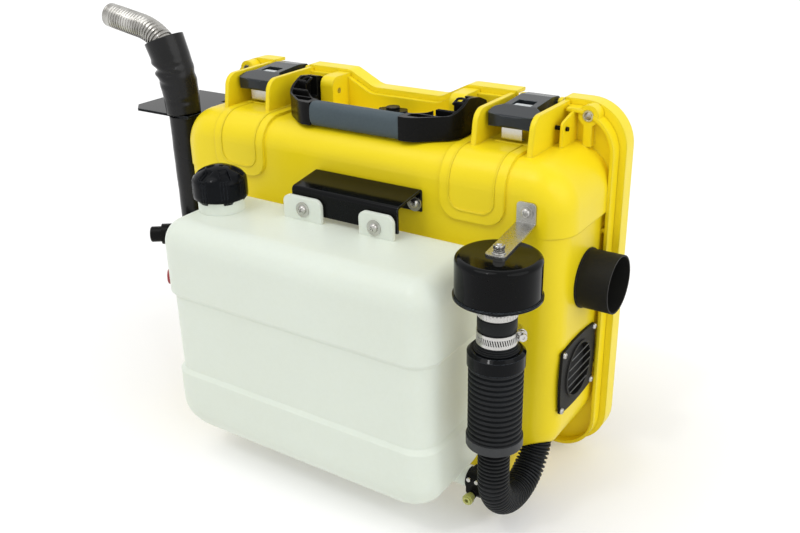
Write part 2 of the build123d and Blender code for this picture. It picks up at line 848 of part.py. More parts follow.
valve_y = -27.0
with BuildPart() as relief_valve:
    with BuildSketch(at_z(case_top)):
        with BuildLine():
            FilletPolyline(
                (-19, valve_y), (-12, valve_y - 11), (12, valve_y - 11), (19, valve_y),
                (12, valve_y + 11), (-12, valve_y + 11), radius=2.5, close=True,
            )
        make_face()
    extrude(amount=9)
    fillet(relief_valve.faces().sort_by(Axis.Z)[-1].edges(), 1.6)
    with BuildSketch(at_z(case_top + 9)):
        with Locations((0, valve_y)):
            Circle(7.5)
            with PolarLocations(5.2, 3):
                Circle(1.2, mode=Mode.SUBTRACT)
    extrude(amount=3)
relief_valve.part.label = "relief_valve"
export_step(relief_valve.part, "parts/relief_valve.step")


# ---------------------------------------------------------------- fasteners
def screw_set(places, plane, head_r, head_h, stem_r, stem_l, washer_r=0.0, washer_t=0.0):
    """Button-head screws, heads standing out along the plane's normal."""
    with BuildPart() as screws:
        with BuildSketch(plane):
            with Locations(*places):
                Circle(stem_r)
        extrude(amount=-stem_l)
        with BuildSketch(plane):
            with Locations(*places):
                Circle(washer_r if washer_t else head_r)
        extrude(amount=washer_t if washer_t else head_h)
        if washer_t:
            with BuildSketch(plane.offset(washer_t)):
                with Locations(*places):
                    Circle(head_r)
            extrude(amount=head_h)
    return screws.part


# ---------------------------------------------------------------- tank bracket
bracket_back = -base_depth
bracket_nose = bracket_back - bracket_reach
with BuildPart() as tank_bracket:
    with BuildSketch(at_x(bracket_left)):
        with BuildLine():
            FilletPolyline(
                (bracket_back - bracket_sheet / 2, bracket_top - 23),
                (bracket_back - bracket_sheet / 2, bracket_top),
                (bracket_nose, bracket_top - 6.5),
                (bracket_nose, bracket_top - 32),
                radius=3,
            )
        trace(line_width=bracket_sheet)
    extrude(amount=bracket_right - bracket_left)
    with BuildSketch(at_y(bracket_back)):
        with Locations(*[(x, bracket_screw_z) for x in bracket_screws]):
            Circle(screw_r)
    extrude(amount=bracket_sheet * 2, mode=Mode.SUBTRACT)
    with BuildSketch(at_y(bracket_nose + bracket_sheet)):
        with Locations(*tab_bolts):
            Circle(screw_r)
    extrude(amount=bracket_sheet * 3, mode=Mode.SUBTRACT)
tank_bracket.part.label = "tank_bracket"
export_step(tank_bracket.part, "parts/tank_bracket.step")

# ---------------------------------------------------------------- tank
tank_mid_x = (tank_left + tank_right) / 2
tank_mid_y = (tank_front + tank_back) / 2


def tank_form(inset):
    """Tank body with its waist, or the space inside it when inset."""
    width = tank_right - tank_left - 2 * inset
    depth = tank_back - tank_front - 2 * inset
    low, high = tank_bottom + inset, tank_top - inset
    corner = tank_edge_r - inset
    radius = tank_bottom_r - inset
    with BuildPart() as form:
        # Sides, rounded over at the top
        with BuildSketch(at_z(low + radius)):
            with Locations((tank_mid_x, tank_mid_y)):
                RectangleRounded(width, depth, corner)
        extrude(amount=high - low - radius)
        fillet(form.faces().sort_by(Axis.Z)[-1].edges(), corner - 1)
        # Bottom, drawn in on all four sides along a quarter circle
        for step in range(7):
            turn = radians(15 * step)
            shrink = radius * (1 - cos(turn))
            with BuildSketch(at_z(low + radius * (1 - sin(turn)))):
                with Locations((tank_mid_x, tank_mid_y)):
                    RectangleRounded(
                        width - 2 * shrink, depth - 2 * shrink,
                        min(corner, 0.9 * (depth / 2 - shrink)),
                    )
        loft()
        # Waist: a shallow band all round, with sloping ends
        waist_low, waist_high = tank_waist[0] - inset, tank_waist[1] + inset
        with BuildPart(mode=Mode.PRIVATE) as core:
            for z, step_in in (
                (waist_low - tank_step_slope, 0), (waist_low, tank_step),
                (waist_high, tank_step), (waist_high + tank_step_slope, 0),
            ):
                with BuildSketch(at_z(z)):
                    with Locations((tank_mid_x, tank_mid_y)):
                        RectangleRounded(
                            width - 2 * step_in, depth - 2 * step_in, corner - step_in / 2
                        )
            loft(ruled=True)
        with BuildPart(mode=Mode.PRIVATE) as band:
            with BuildSketch(at_z(waist_low - tank_step_slope)):
                with Locations((tank_mid_x, tank_mid_y)):
                    Rectangle(width + 10, depth + 10)
            extrude(amount=waist_high - waist_low + 2 * tank_step_slope)
            add(core.part, mode=Mode.SUBTRACT)
        add(band.part, mode=Mode.SUBTRACT)
    return form.part


with BuildPart() as fuel_tank:
    add(tank_form(0))
    with BuildSketch(at_y(tab_front + tab_thick)):
        for left, right in tabs:
            with BuildLine():
                FilletPolyline(
                    (left, tank_top - 8), (right, tank_top - 8), (right, tab_top), (left, tab_top),
                    radius=[0, 0, 8, 8], close=True,
                )
            make_face()
    extrude(amount=tab_thick)
    with BuildSketch(at_z(tank_top - 6)):
        with Locations((neck_x, neck_y)):
            Circle(neck_r)
    extrude(amount=neck_top - tank_top + 6)
    add(tank_form(tank_wall), mode=Mode.SUBTRACT)
    with BuildSketch(at_z(tank_top - 12)):
        with Locations((neck_x, neck_y)):
            Circle(neck_bore_r)
    extrude(amount=neck_top - tank_top + 13, mode=Mode.SUBTRACT)
    with BuildSketch(at_y(tab_front + tab_thick + 1)):
        with Locations(*tab_bolts):
            Circle(3.0)
    extrude(amount=tab_thick + 2, mode=Mode.SUBTRACT)
    # Threaded boss for the drain cock
    with BuildSketch(at_x(tank_right - 26)):
        with Locations((cock_y, cock_z)):
            Circle(cock_r)
    extrude(amount=24)
    add(tank_form(tank_wall), mode=Mode.SUBTRACT)
    with BuildSketch(at_x(tank_right - 40)):
        with Locations((cock_y, cock_z)):
            Circle(4)
    extrude(amount=60, mode=Mode.SUBTRACT)
fuel_tank.part.label = "fuel_tank"
export_step(fuel_tank.part, "parts/fuel_tank.step")

with BuildPart() as tank_cap:
    with BuildSketch(at_z(cap_bottom)):
        with Locations((neck_x, neck_y)):
            Circle(cap_r - 1.5)
    extrude(amount=cap_top - cap_bottom)
    fillet(tank_cap.faces().sort_by(Axis.Z)[-1].edges(), 9)
    with BuildSketch(at_z(cap_bottom)):
        with Locations((neck_x, neck_y)):
            with PolarLocations(cap_r - 3.5, cap_ribs):
                Circle(4)
    extrude(amount=cap_top - cap_bottom - 11)
    with BuildSketch(at_z(cap_bottom)):
        with Locations((neck_x, neck_y)):
            Circle(neck_r + 0.5)
    extrude(amount=neck_top + 2.5 - cap_bottom, mode=Mode.SUBTRACT)
    # Recesses round the crown
    with BuildSketch(at_z(cap_top - 3)):
        with Locations((neck_x, neck_y)):
            with PolarLocations(16, 6):
                SlotOverall(11, 5)
    extrude(amount=5, mode=Mode.SUBTRACT)
tank_cap.part.label = "tank_cap"
export_step(tank_cap.part, "parts/tank_cap.step")

with BuildPart() as cap_seal:
    with BuildSketch(at_z(neck_top)):
        with Locations((neck_x, neck_y)):
            Circle(neck_r)
            Circle(neck_bore_r, mode=Mode.SUBTRACT)
    extrude(amount=2.5)
cap_seal.part.label = "cap_seal"
export_step(cap_seal.part, "parts/cap_seal.step")

# ---------------------------------------------------------------- drain cock
cock_x = tank_right + 1.5
with BuildPart() as drain_cock:
    with BuildSketch(at_x(tank_right - 2)):
        with Locations((cock_y, cock_z)):
            Circle(cock_r)
    extrude(amount=6)
    with BuildSketch(at_x(cock_x)):
        with Locations((cock_y - 2, cock_z)):
            RectangleRounded(26, 26, 7)
    extrude(amount=16)
    with BuildSketch(at_y(cock_y - 14)):
        with Locations((cock_x + 8, cock_z - 8)):
            Circle(4.5)
    extrude(amount=4)
    with BuildSketch(at_x(tank_right - 6)):
        with Locations((cock_y, cock_z)):
            Circle(3.9)
    extrude(amount=6)
drain_cock.part.label = "drain_cock"
export_step(drain_cock.part, "parts/drain_cock.step")

with BuildPart() as drain_outlet:
    with BuildSketch(at_y(cock_y - 18)):
        with Locations((cock_x + 8, cock_z - 8)):
            Circle(4.2)
    extrude(amount=10)
    with BuildSketch(at_y(cock_y - 22)):
        with Locations((cock_x + 8, cock_z - 8)):
            Circle(5.6)
    extrude(amount=4)
    with BuildSketch(at_y(cock_y - 20)):
        with Locations((cock_x + 8, cock_z - 8)):
            Circle(2.2)
    extrude(amount=9, mode=Mode.SUBTRACT)
drain_outlet.part.label = "drain_outlet"
export_step(drain_outlet.part, "parts/drain_outlet.step")

cock_face_x = cock_x + 16
with BuildPart() as drain_lever:
    with BuildSketch(at_x(cock_face_x + 0.3)):
        with Locations((cock_y - 2, cock_z)):
            Circle(7)
    extrude(amount=5)
    with BuildSketch(at_x(cock_face_x + 0.3)):
        with BuildLine():
            FilletPolyline(
                (cock_y - 2, cock_z + 4), (cock_y - 2, cock_z - 4),
                (cock_y + 18, cock_z - 5), (cock_y + 18, cock_z + 5),
                radius=[0, 0, 3, 3], close=True,
            )
        make_face()
    extrude(amount=4)
    with BuildSketch(at_x(cock_face_x)):
        with Locations((cock_y - 2, cock_z)):
            Circle(2.0 + running)
    extrude(amount=10, mode=Mode.SUBTRACT)
drain_lever.part.label = "drain_lever"
export_step(drain_lever.part, "parts/drain_lever.step")

with BuildPart() as drain_screws:
    with BuildSketch(at_x(cock_face_x)):
        with Locations((cock_y - 2, cock_z)):
            Circle(2.0)
    extrude(amount=5.6)
    with BuildSketch(at_x(cock_face_x + 5.6)):
        with Locations((cock_y - 2, cock_z)):
            Circle(3.4)
    extrude(amount=1.8)
    with BuildSketch(at_y(cock_y - 15)):
        with Locations((cock_x + 3.5, cock_z + 8.5), (cock_x + 12.5, cock_z + 8.5)):
            Circle(2.2)
    extrude(amount=1.8)
drain_screws.part.label = "drain_screws"
export_step(drain_screws.part, "parts/drain_screws.step")


# ---------------------------------------------------------------- intake
def turned(points, x, y):
    """Ring turned round an upright axis from an (r, z) outline."""
    with BuildPart() as ring:
        with BuildSketch(Plane(origin=(x, y, 0), x_dir=(1, 0, 0), z_dir=(0, -1, 0))):
            with BuildLine():
                Polyline(*points, close=True)
            make_face()
        revolve(axis=Axis((x, y, 0), (0, 0, 1)))
    return ring.part


with BuildPart() as filter_can:
    with BuildSketch(Plane(origin=(intake_x, intake_y, 0), x_dir=(1, 0, 0), z_dir=(0, -1, 0))):
        with BuildLine():
            FilletPolyline(
                (neck_tube_bore, can_bottom + 6),
                (neck_tube_bore, can_top), (can_r, can_top), (can_r, can_bottom + 2),
                (can_rim_r, can_bottom + 2), (can_rim_r, can_bottom),
                (can_r - can_sheet, can_bottom), (can_r - can_sheet, can_top - can_sheet),
                (neck_tube_bore + can_sheet, can_top - can_sheet),
                (neck_tube_bore + can_sheet, can_bottom + 6),
                radius=[0, 0, 5, 0, 0, 0, 0, 3.8, 0, 0], close=True,
            )
        make_face()
        with Locations((neck_tube_bore / 2, can_top - can_sheet / 2)):
            Rectangle(neck_tube_bore, can_sheet)
    revolve(axis=Axis((intake_x, intake_y, 0), (0, 0, 1)))
    # Serrated outlet collar under the can
    with BuildSketch(at_z(can_bottom - 9)):
        with Locations((intake_x, intake_y)):
            Circle(22)
            Circle(neck_tube_bore, mode=Mode.SUBTRACT)
    extrude(amount=15.5)
    with BuildSketch(at_z(can_top + 1)):
        with Locations((intake_x, intake_y)):
            Circle(can_bolt_r)
    extrude(amount=-10, mode=Mode.SUBTRACT)
filter_can.part.label = "filter_can"
export_step(filter_can.part, "parts/filter_can.step")

filter_element = turned(
    [(neck_tube_bore + can_sheet + 0.5, can_bottom + 6.5), (34, can_bottom + 6.5),
     (34, can_top - can_sheet), (neck_tube_bore + can_sheet + 0.5, can_top - can_sheet)],
    intake_x, intake_y,
)
filter_element.label = "filter_element"
export_step(filter_element, "parts/filter_element.step")

intake_neck = turned(
    [(neck_tube_bore, silencer_top), (neck_tube_r + 3, silencer_top), (neck_tube_r, silencer_top + 4),
     (neck_tube_r, clamp_bottom + clamp_height + 2), (neck_tube_r + 2, clamp_bottom + clamp_height + 4),
     (neck_tube_r + 2, can_bottom - 14), (neck_tube_r, can_bottom - 9),
     (neck_tube_bore, can_bottom - 9)],
    intake_x, intake_y,
)
intake_neck.label = "intake_neck"
export_step(intake_neck, "parts/intake_neck.step")

with BuildPart() as hose_clamp:
    with BuildSketch(at_z(clamp_bottom)):
        with Locations((intake_x, intake_y)):
            Circle(neck_tube_r + clamp_sheet)
            Circle(neck_tube_r, mode=Mode.SUBTRACT)
    extrude(amount=clamp_height)
    with BuildSketch(at_z(clamp_bottom + 1)):
        with Locations((intake_x + 15, intake_y + 15.5)):
            Rectangle(13, 10, rotation=-45)
        with Locations((intake_x, intake_y)):
            Circle(neck_tube_r + clamp_sheet / 2, mode=Mode.SUBTRACT)
    extrude(amount=clamp_height - 2)
    with BuildSketch(Plane(
        origin=(intake_x + 15 + 5, intake_y + 15.5 - 5, clamp_bottom + clamp_height / 2),
        z_dir=(1, -1, 0),
    )):
        RegularPolygon(4.4, 6)
    extrude(amount=5)
hose_clamp.part.label = "hose_clamp"
export_step(hose_clamp.part, "parts/hose_clamp.step")

collar_top_bottom = silencer_top - collar_top_length
silencer_top_collar = turned(
    [(neck_tube_bore, silencer_top), (collar_r - 3, silencer_top), (collar_r, silencer_top - 3),
     (collar_r, collar_top_bottom), (neck_tube_bore, collar_top_bottom)],
    intake_x, intake_y,
)
silencer_top_collar.label = "silencer_top_collar"
export_step(silencer_top_collar, "parts/silencer_top_collar.step")

silencer_low = collar_top_bottom - silencer_ribs * silencer_rib_pitch
with BuildPart() as silencer_body:
    with BuildSketch(Plane(origin=(intake_x, intake_y, 0), x_dir=(1, 0, 0), z_dir=(0, -1, 0))):
        with BuildLine():
            outline = [(hose_bore_r, collar_top_bottom), (silencer_valley_r, collar_top_bottom)]
            for i in range(silencer_ribs):
                z = collar_top_bottom - silencer_rib_pitch * i
                outline += [
                    (silencer_valley_r, z - 0.22 * silencer_rib_pitch),
                    (silencer_r, z - 0.36 * silencer_rib_pitch),
                    (silencer_r, z - 0.82 * silencer_rib_pitch),
                    (silencer_valley_r, z - 0.96 * silencer_rib_pitch),
                ]
            outline += [(silencer_valley_r, silencer_low), (hose_bore_r, silencer_low)]
            Polyline(*outline, close=True)
        make_face()
    revolve(axis=Axis((intake_x, intake_y, 0), (0, 0, 1)))
silencer_body.part.label = "silencer_body"
export_step(silencer_body.part, "parts/silencer_body.step")

collar_low_bottom = silencer_low - collar_low_length
silencer_low_collar = turned(
    [(hose_bore_r, silencer_low), (collar_r, silencer_low), (collar_r, collar_low_bottom + 5),
     (collar_r - 7, collar_low_bottom), (hose_bore_r, collar_low_bottom)],
    intake_x, intake_y,
)
silencer_low_collar.label = "silencer_low_collar"
export_step(silencer_low_collar, "parts/silencer_low_collar.step")

hose_drop = collar_low_bottom - hose_centre_z
hose_length = hose_drop + pi * hose_bend_r + 2 * hose_r


def hose_plane(s):
    """Plane square to the hose at the length s from the silencer."""
    if s <= hose_drop:
        return Plane(
            origin=(intake_x, intake_y, collar_low_bottom - s), x_dir=(1, 0, 0), z_dir=(0, 0, -1)
        )
    turn = (s - hose_drop) / hose_bend_r
    if turn <= pi:
        return Plane(
            origin=(
                intake_x,
                intake_y + hose_bend_r * (1 - cos(turn)),
                hose_centre_z - hose_bend_r * sin(turn),
            ),
            x_dir=(1, 0, 0),
            z_dir=(0, sin(turn), -cos(turn)),
        )
    return Plane(
        origin=(intake_x, intake_y + 2 * hose_bend_r, hose_centre_z + (turn - pi) * hose_bend_r),
        x_dir=(1, 0, 0),
        z_dir=(0, 0, 1),
    )


hose_start = 2.0
hose_ribs = round((hose_length - 2 * hose_start) / hose_pitch)
rib_step = (hose_length - 2 * hose_start) / hose_ribs
with BuildPart() as intake_hose:
    stations = [(0.0, hose_valley_r), (hose_start, hose_valley_r)]
    for i in range(hose_ribs):
        s = hose_start + rib_step * i
        stations += [
            (s + 0.20 * rib_step, hose_valley_r),
            (s + 0.34 * rib_step, hose_r),
            (s + 0.80 * rib_step, hose_r),
            (s + 0.94 * rib_step, hose_valley_r),
        ]
    stations += [(hose_length, hose_valley_r)]
    for s, radius in stations:
        with BuildSketch(hose_plane(s)):
            Circle(radius)
    loft(ruled=True)
    with BuildLine(at_x(intake_x)):
        hose_line = Polyline((intake_y, collar_low_bottom), (intake_y, hose_centre_z))
        hose_turn = CenterArc((intake_y + hose_bend_r, hose_centre_z), hose_bend_r, 180, 180)
        hose_end = Polyline(
            (intake_y + 2 * hose_bend_r, hose_centre_z),
            (intake_y + 2 * hose_bend_r, hose_centre_z + 2 * hose_r),
        )
    with BuildSketch(hose_plane(0)):
        Circle(hose_bore_r)
    sweep(path=Wire([hose_line.edge(), hose_turn.edge(), hose_end.edge()]), mode=Mode.SUBTRACT)
intake_hose.part.label = "intake_hose"
export_step(intake_hose.part, "parts/intake_hose.step")

# Strap from the case front to the top of the filter can
strap_back = -base_depth
strap_face = strap_back
strap_half = strap_width / 2
with BuildPart() as filter_strap:
    with BuildSketch(at_y(strap_face)):
        with BuildLine():
            FilletPolyline(
                (strap_x - strap_half, can_top), (strap_x + strap_half, can_top),
                (strap_x + strap_half, strap_screw_z + 10), (strap_x - strap_half, strap_screw_z + 10),
                radius=[0, 0, 4, 4], close=True,
            )
        make_face()
        with Locations((strap_x, strap_screw_z)):
            Circle(screw_r, mode=Mode.SUBTRACT)
    extrude(amount=strap_sheet)
    # Level leg, slewed towards the middle of the can
    with BuildSketch(at_z(can_top)):
        with BuildLine():
            FilletPolyline(
                (strap_x - strap_half, strap_face), (strap_x + strap_half, strap_face),
                (intake_x + strap_half, intake_y - 9), (intake_x - strap_half, intake_y - 9),
                radius=[0, 0, 5, 5], close=True,
            )
        make_face()
        with Locations((intake_x, intake_y)):
            Circle(can_bolt_r, mode=Mode.SUBTRACT)
    extrude(amount=strap_sheet)
    bend = filter_strap.edges().filter_by(Axis.X).group_by(Axis.Y)[-1].sort_by(Axis.Z)[0]
    fillet(bend, strap_sheet)
filter_strap.part.label = "filter_strap"
export_step(filter_strap.part, "parts/filter_strap.step")
with BuildPart() as can_bolt:
    with BuildSketch(at_z(can_top + strap_sheet + 1.6)):
        with Locations((intake_x, intake_y)):
            RegularPolygon(4.6, 6)
    extrude(amount=4)
    with BuildSketch(at_z(can_top + strap_sheet)):
        with Locations((intake_x, intake_y)):
            Circle(6)
    extrude(amount=1.6)
    with BuildSketch(at_z(can_top + strap_sheet)):
        with Locations((intake_x, intake_y)):
            Circle(can_bolt_r)
    extrude(amount=-8)
can_bolt.part.label = "can_bolt"
export_step(can_bolt.part, "parts/can_bolt.step")

# ---------------------------------------------------------------- right wall
with BuildPart() as hot_air_outlet:
    with BuildSketch(at_x(case_half_width - case_wall - 3)):
        with Locations((duct_y, duct_z)):
            Circle(duct_flange_r)
            Circle(duct_r - duct_wall, mode=Mode.SUBTRACT)
    extrude(amount=3)
    with BuildSketch(at_x(case_half_width - case_wall)):
        with Locations((duct_y, duct_z)):
            Circle(duct_r)
            Circle(duct_r - duct_wall, mode=Mode.SUBTRACT)
    extrude(amount=duct_reach - case_half_width + case_wall)
    # Thicker root, where the tube passes through the wall
    with BuildSketch(at_x(case_half_width - case_wall)):
        with Locations((duct_y, duct_z)):
            Circle(duct_r + duct_root)
            Circle(duct_r - duct_wall, mode=Mode.SUBTRACT)
    extrude(amount=case_wall + duct_root_length)
hot_air_outlet.part.label = "hot_air_outlet"
export_step(hot_air_outlet.part, "parts/hot_air_outlet.step")

with BuildPart() as vent_plate:
    with BuildSketch(at_x(case_half_width)):
        with BuildLine():
            half_y, half_z = vent_width / 2 - 3, vent_height / 2 - 3
            ThreePointArc((vent_y - half_y, vent_z - half_z), (vent_y - half_y - 3, vent_z),
                          (vent_y - half_y, vent_z + half_z))
            ThreePointArc((vent_y - half_y, vent_z + half_z), (vent_y, vent_z + half_z + 3),
                          (vent_y + half_y, vent_z + half_z))
            ThreePointArc((vent_y + half_y, vent_z + half_z), (vent_y + half_y + 3, vent_z),
                          (vent_y + half_y, vent_z - half_z))
            ThreePointArc((vent_y + half_y, vent_z - half_z), (vent_y, vent_z - half_z - 3),
                          (vent_y - half_y, vent_z - half_z))
        make_face()
    extrude(amount=vent_plate_thick)
    with BuildSketch(at_x(case_half_width - case_wall)):
        with Locations((vent_y, vent_z)):
            Circle(vent_ring_r - 0.3)
    extrude(amount=case_wall + vent_plate_thick + 1.5)
    with BuildSketch(at_x(case_half_width - 2 * case_wall)):
        with Locations((vent_y, vent_z)):
            Circle(vent_ring_r - 3)
            slat_pitch = 2 * (vent_ring_r - 3) / (vent_slats + 1)
            for i in range(vent_slats):
                with Locations((vent_y, vent_z - vent_ring_r + 3 + slat_pitch * (i + 1))):
                    Rectangle(2 * vent_ring_r, vent_slat, mode=Mode.SUBTRACT)
    extrude(amount=20, mode=Mode.SUBTRACT)
    with BuildSketch(at_x(case_half_width)):
        with Locations(*vent_screws_at):
            Circle(vent_screw_r)
    extrude(amount=vent_plate_thick, mode=Mode.SUBTRACT)
vent_plate.part.label = "vent_plate"
export_step(vent_plate.part, "parts/vent_plate.step")

vent_screw_set = screw_set(
    vent_screws_at, at_x(case_half_width + vent_plate_thick), 3.2, 2.2, vent_screw_r, 8.0,
)
vent_screw_set.label = "vent_screws"
export_step(vent_screw_set, "parts/vent_screws.step")

# ---------------------------------------------------------------- exhaust
elbow_wall_x = -case_half_width
elbow_top_z = exhaust_wall_z + elbow_bend_r
elbow_centre = (exhaust_x + elbow_bend_r, elbow_top_z)
with BuildPart() as exhaust_elbow:
    with BuildLine(at_y(exhaust_y)):
        elbow_in = Polyline((elbow_wall_x + 12, exhaust_wall_z), (elbow_centre[0], exhaust_wall_z))
        elbow_arc = CenterArc(elbow_centre, elbow_bend_r, 270, -90)
        elbow_up = Polyline((exhaust_x, elbow_top_z), (exhaust_x, pipe_start_z + 20))
    with BuildSketch(Plane(origin=(elbow_wall_x + 12, exhaust_y, exhaust_wall_z), z_dir=(-1, 0, 0))):
        Circle(elbow_r)
        Circle(elbow_bore_r - 1, mode=Mode.SUBTRACT)
    sweep(path=Wire([elbow_in.edge(), elbow_arc.edge(), elbow_up.edge()]))
    # Welded wall flange
    with BuildSketch(at_x(elbow_wall_x)):
        with Locations((exhaust_y, exhaust_wall_z)):
            RectangleRounded(44, 44, 6)
            Circle(elbow_r, mode=Mode.SUBTRACT)
    extrude(amount=-3)
exhaust_elbow.part.label = "exhaust_elbow"
export_step(exhaust_elbow.part, "parts/exhaust_elbow.step")


def pipe_plane(s):
    """Plane square to the exhaust pipe, s along it from where it starts."""
    rise = pipe_bend_z - pipe_start_z
    if s <= rise:
        return Plane(origin=(exhaust_x, exhaust_y, pipe_start_z + s), x_dir=(0, 1, 0))
    turn = min((s - rise) / pipe_bend_r, radians(pipe_bend_angle))
    tail = s - rise - turn * pipe_bend_r
    heading = (-sin(turn), 0, cos(turn))
    origin = (
        exhaust_x - pipe_bend_r * (1 - cos(turn)) + tail * heading[0],
        exhaust_y,
        pipe_bend_z + pipe_bend_r * sin(turn) + tail * heading[2],
    )
    return Plane(origin=origin, x_dir=(0, 1, 0), z_dir=heading)


pipe_turn_length = pipe_bend_r * radians(pipe_bend_angle)
pipe_length = pipe_bend_z - pipe_start_z + pipe_turn_length + pipe_tail
pipe_ribs = 17
with BuildPart() as exhaust_pipe:
    rib_from = pipe_length - pipe_cuff - 0.6 - pipe_ribs * pipe_rib_pitch
    stations = [(rib_from, pipe_r)]
    for i in range(pipe_ribs):
        s = rib_from + pipe_rib_pitch * i
        stations += [
            (s + 0.30 * pipe_rib_pitch, pipe_valley_r),
            (s + 0.50 * pipe_rib_pitch, pipe_valley_r),
            (s + 0.80 * pipe_rib_pitch, pipe_crest_r),
            (s + 1.00 * pipe_rib_pitch, pipe_crest_r),
        ]
    stations += [(pipe_length - pipe_cuff, pipe_r), (pipe_length, pipe_r)]
    for s, radius in stations:
        with BuildSketch(pipe_plane(s)):
            Circle(radius)
    loft(ruled=True)
    with BuildLine(at_y(exhaust_y)):
        pipe_up = Polyline((exhaust_x, pipe_start_z), (exhaust_x, pipe_bend_z))
        pipe_arc = CenterArc((exhaust_x - pipe_bend_r, pipe_bend_z), pipe_bend_r, 0, pipe_bend_angle)
        pipe_out = Line(pipe_arc @ 1, pipe_arc @ 1 + (pipe_arc % 1) * pipe_tail)
    with BuildLine(at_y(exhaust_y)):
        plain_up = Polyline((exhaust_x, pipe_start_z), (exhaust_x, pipe_bend_z))
        plain_arc = CenterArc(
            (exhaust_x - pipe_bend_r, pipe_bend_z), pipe_bend_r, 0,
            (rib_from - (pipe_bend_z - pipe_start_z)) / pipe_turn_length * pipe_bend_angle,
        )
    with BuildSketch(pipe_plane(0)):
        Circle(pipe_r)
    sweep(path=Wire([plain_up.edge(), plain_arc.edge()]))
    with BuildSketch(pipe_plane(0)):
        Circle(pipe_bore_r)
    sweep(path=Wire([pipe_up.edge(), pipe_arc.edge(), pipe_out.edge()]), mode=Mode.SUBTRACT)
    # The elbow's end sits inside the pipe
    with BuildSketch(at_z(pipe_start_z)):
        with Locations((exhaust_x, exhaust_y)):
            Circle(elbow_r)
    extrude(amount=20, mode=Mode.SUBTRACT)
exhaust_pipe.part.label = "exhaust_pipe"
export_step(exhaust_pipe.part, "parts/exhaust_pipe.step")

with BuildPart() as exhaust_sleeve_low:
    with BuildSketch(at_z(sleeve_low_bottom)):
        with Locations((exhaust_x, exhaust_y)):
            Circle(sleeve_low_r)
            Circle(pipe_r, mode=Mode.SUBTRACT)
    extrude(amount=exhaust_plate_z - exhaust_plate_sheet - sleeve_low_bottom)
exhaust_sleeve_low.part.label = "exhaust_sleeve_low"
export_step(exhaust_sleeve_low.part, "parts/exhaust_sleeve_low.step")

plate_wall_x = -case_half_width - pad_rise
plate_tab_front = -57.0
plate_notch_y = -rim_depth - 6
with BuildPart() as exhaust_plate:
    with BuildSketch(at_z(exhaust_plate_z - exhaust_plate_sheet)):
        with BuildLine():
            Polyline(
                (plate_wall_x, exhaust_plate_front),
                (exhaust_plate_left + 14, exhaust_plate_front),
                (exhaust_plate_left, exhaust_plate_front + 14),
                (exhaust_plate_left, exhaust_plate_back - 14),
                (exhaust_plate_left + 14, exhaust_plate_back),
                (-lid_rim_half_width - 6, exhaust_plate_back),
                (-lid_rim_half_width - 6, plate_notch_y),
                (plate_wall_x, plate_notch_y),
                close=True,
            )
        make_face()
        with Locations((exhaust_x, exhaust_y)):
            Circle(pipe_r + 0.5, mode=Mode.SUBTRACT)
    extrude(amount=exhaust_plate_sheet)
    with BuildSketch(at_x(plate_wall_x)):
        with Locations(((plate_tab_front + plate_notch_y) / 2, exhaust_plate_z - 14)):
            Rectangle(plate_notch_y - plate_tab_front, 28)
    extrude(amount=-exhaust_plate_sheet)
    with BuildSketch(at_x(plate_wall_x)):
        with Locations(*plate_screws):
            Circle(screw_r)
    extrude(amount=-8, mode=Mode.SUBTRACT)
exhaust_plate.part.label = "exhaust_plate"
export_step(exhaust_plate.part, "parts/exhaust_plate.step")

with BuildPart() as exhaust_sleeve_up:
    mouth_at = (exhaust_x - 19, exhaust_y, pipe_bend_z + 52)
    sleeve_mouth = Plane(origin=mouth_at, x_dir=(0, 1, 0), z_dir=(-0.33, 0, 0.944))
    for shrink, mode in ((0, Mode.ADD), (sleeve_wall, Mode.SUBTRACT)):
        with BuildSketch(at_z(exhaust_plate_z)):
            with Locations((exhaust_x, exhaust_y)):
                Circle(sleeve_up_r - shrink)
        with BuildSketch(at_z(exhaust_plate_z + 40)):
            with Locations((exhaust_x - 3, exhaust_y)):
                Circle(sleeve_up_r - shrink)
        with BuildSketch(sleeve_mouth.offset(0.0 if mode == Mode.ADD else 0.5)):
            Circle(sleeve_mouth_r - shrink)
        loft(mode=mode)
exhaust_sleeve_up.part.label = "exhaust_sleeve_up"
export_step(exhaust_sleeve_up.part, "parts/exhaust_sleeve_up.step")

# ---------------------------------------------------------------- connectors
corner_centre = (-case_half_width + front_edge_r, -base_depth + front_edge_r)
connector_dir = (-cos(radians(connector_angle)), -sin(radians(connector_angle)), 0)
with BuildPart() as wall_sockets:
    for z in connector_zs:
        seat = Plane(
            origin=(
                corner_centre[0] + connector_dir[0] * (front_edge_r - 1.5),
                corner_centre[1] + connector_dir[1] * (front_edge_r - 1.5),
                z,
            ),
            x_dir=(0, 0, 1),
            z_dir=connector_dir,
        )
        with BuildSketch(seat):
            Circle(connector_r + 3)
        extrude(amount=7)
        with BuildSketch(seat.offset(7)):
            Circle(connector_r - 2)
        extrude(amount=12)
wall_sockets.part.label = "wall_sockets"

with BuildPart() as socket_seats:
    add(case_form(base_depth, 0.02, front_edge_r))
with BuildPart() as wall_sockets_seated:
    add(wall_sockets.part)
    add(socket_seats.part, mode=Mode.SUBTRACT)
wall_sockets_seated.part.label = "wall_sockets"
export_step(wall_sockets_seated.part, "parts/wall_sockets.step")

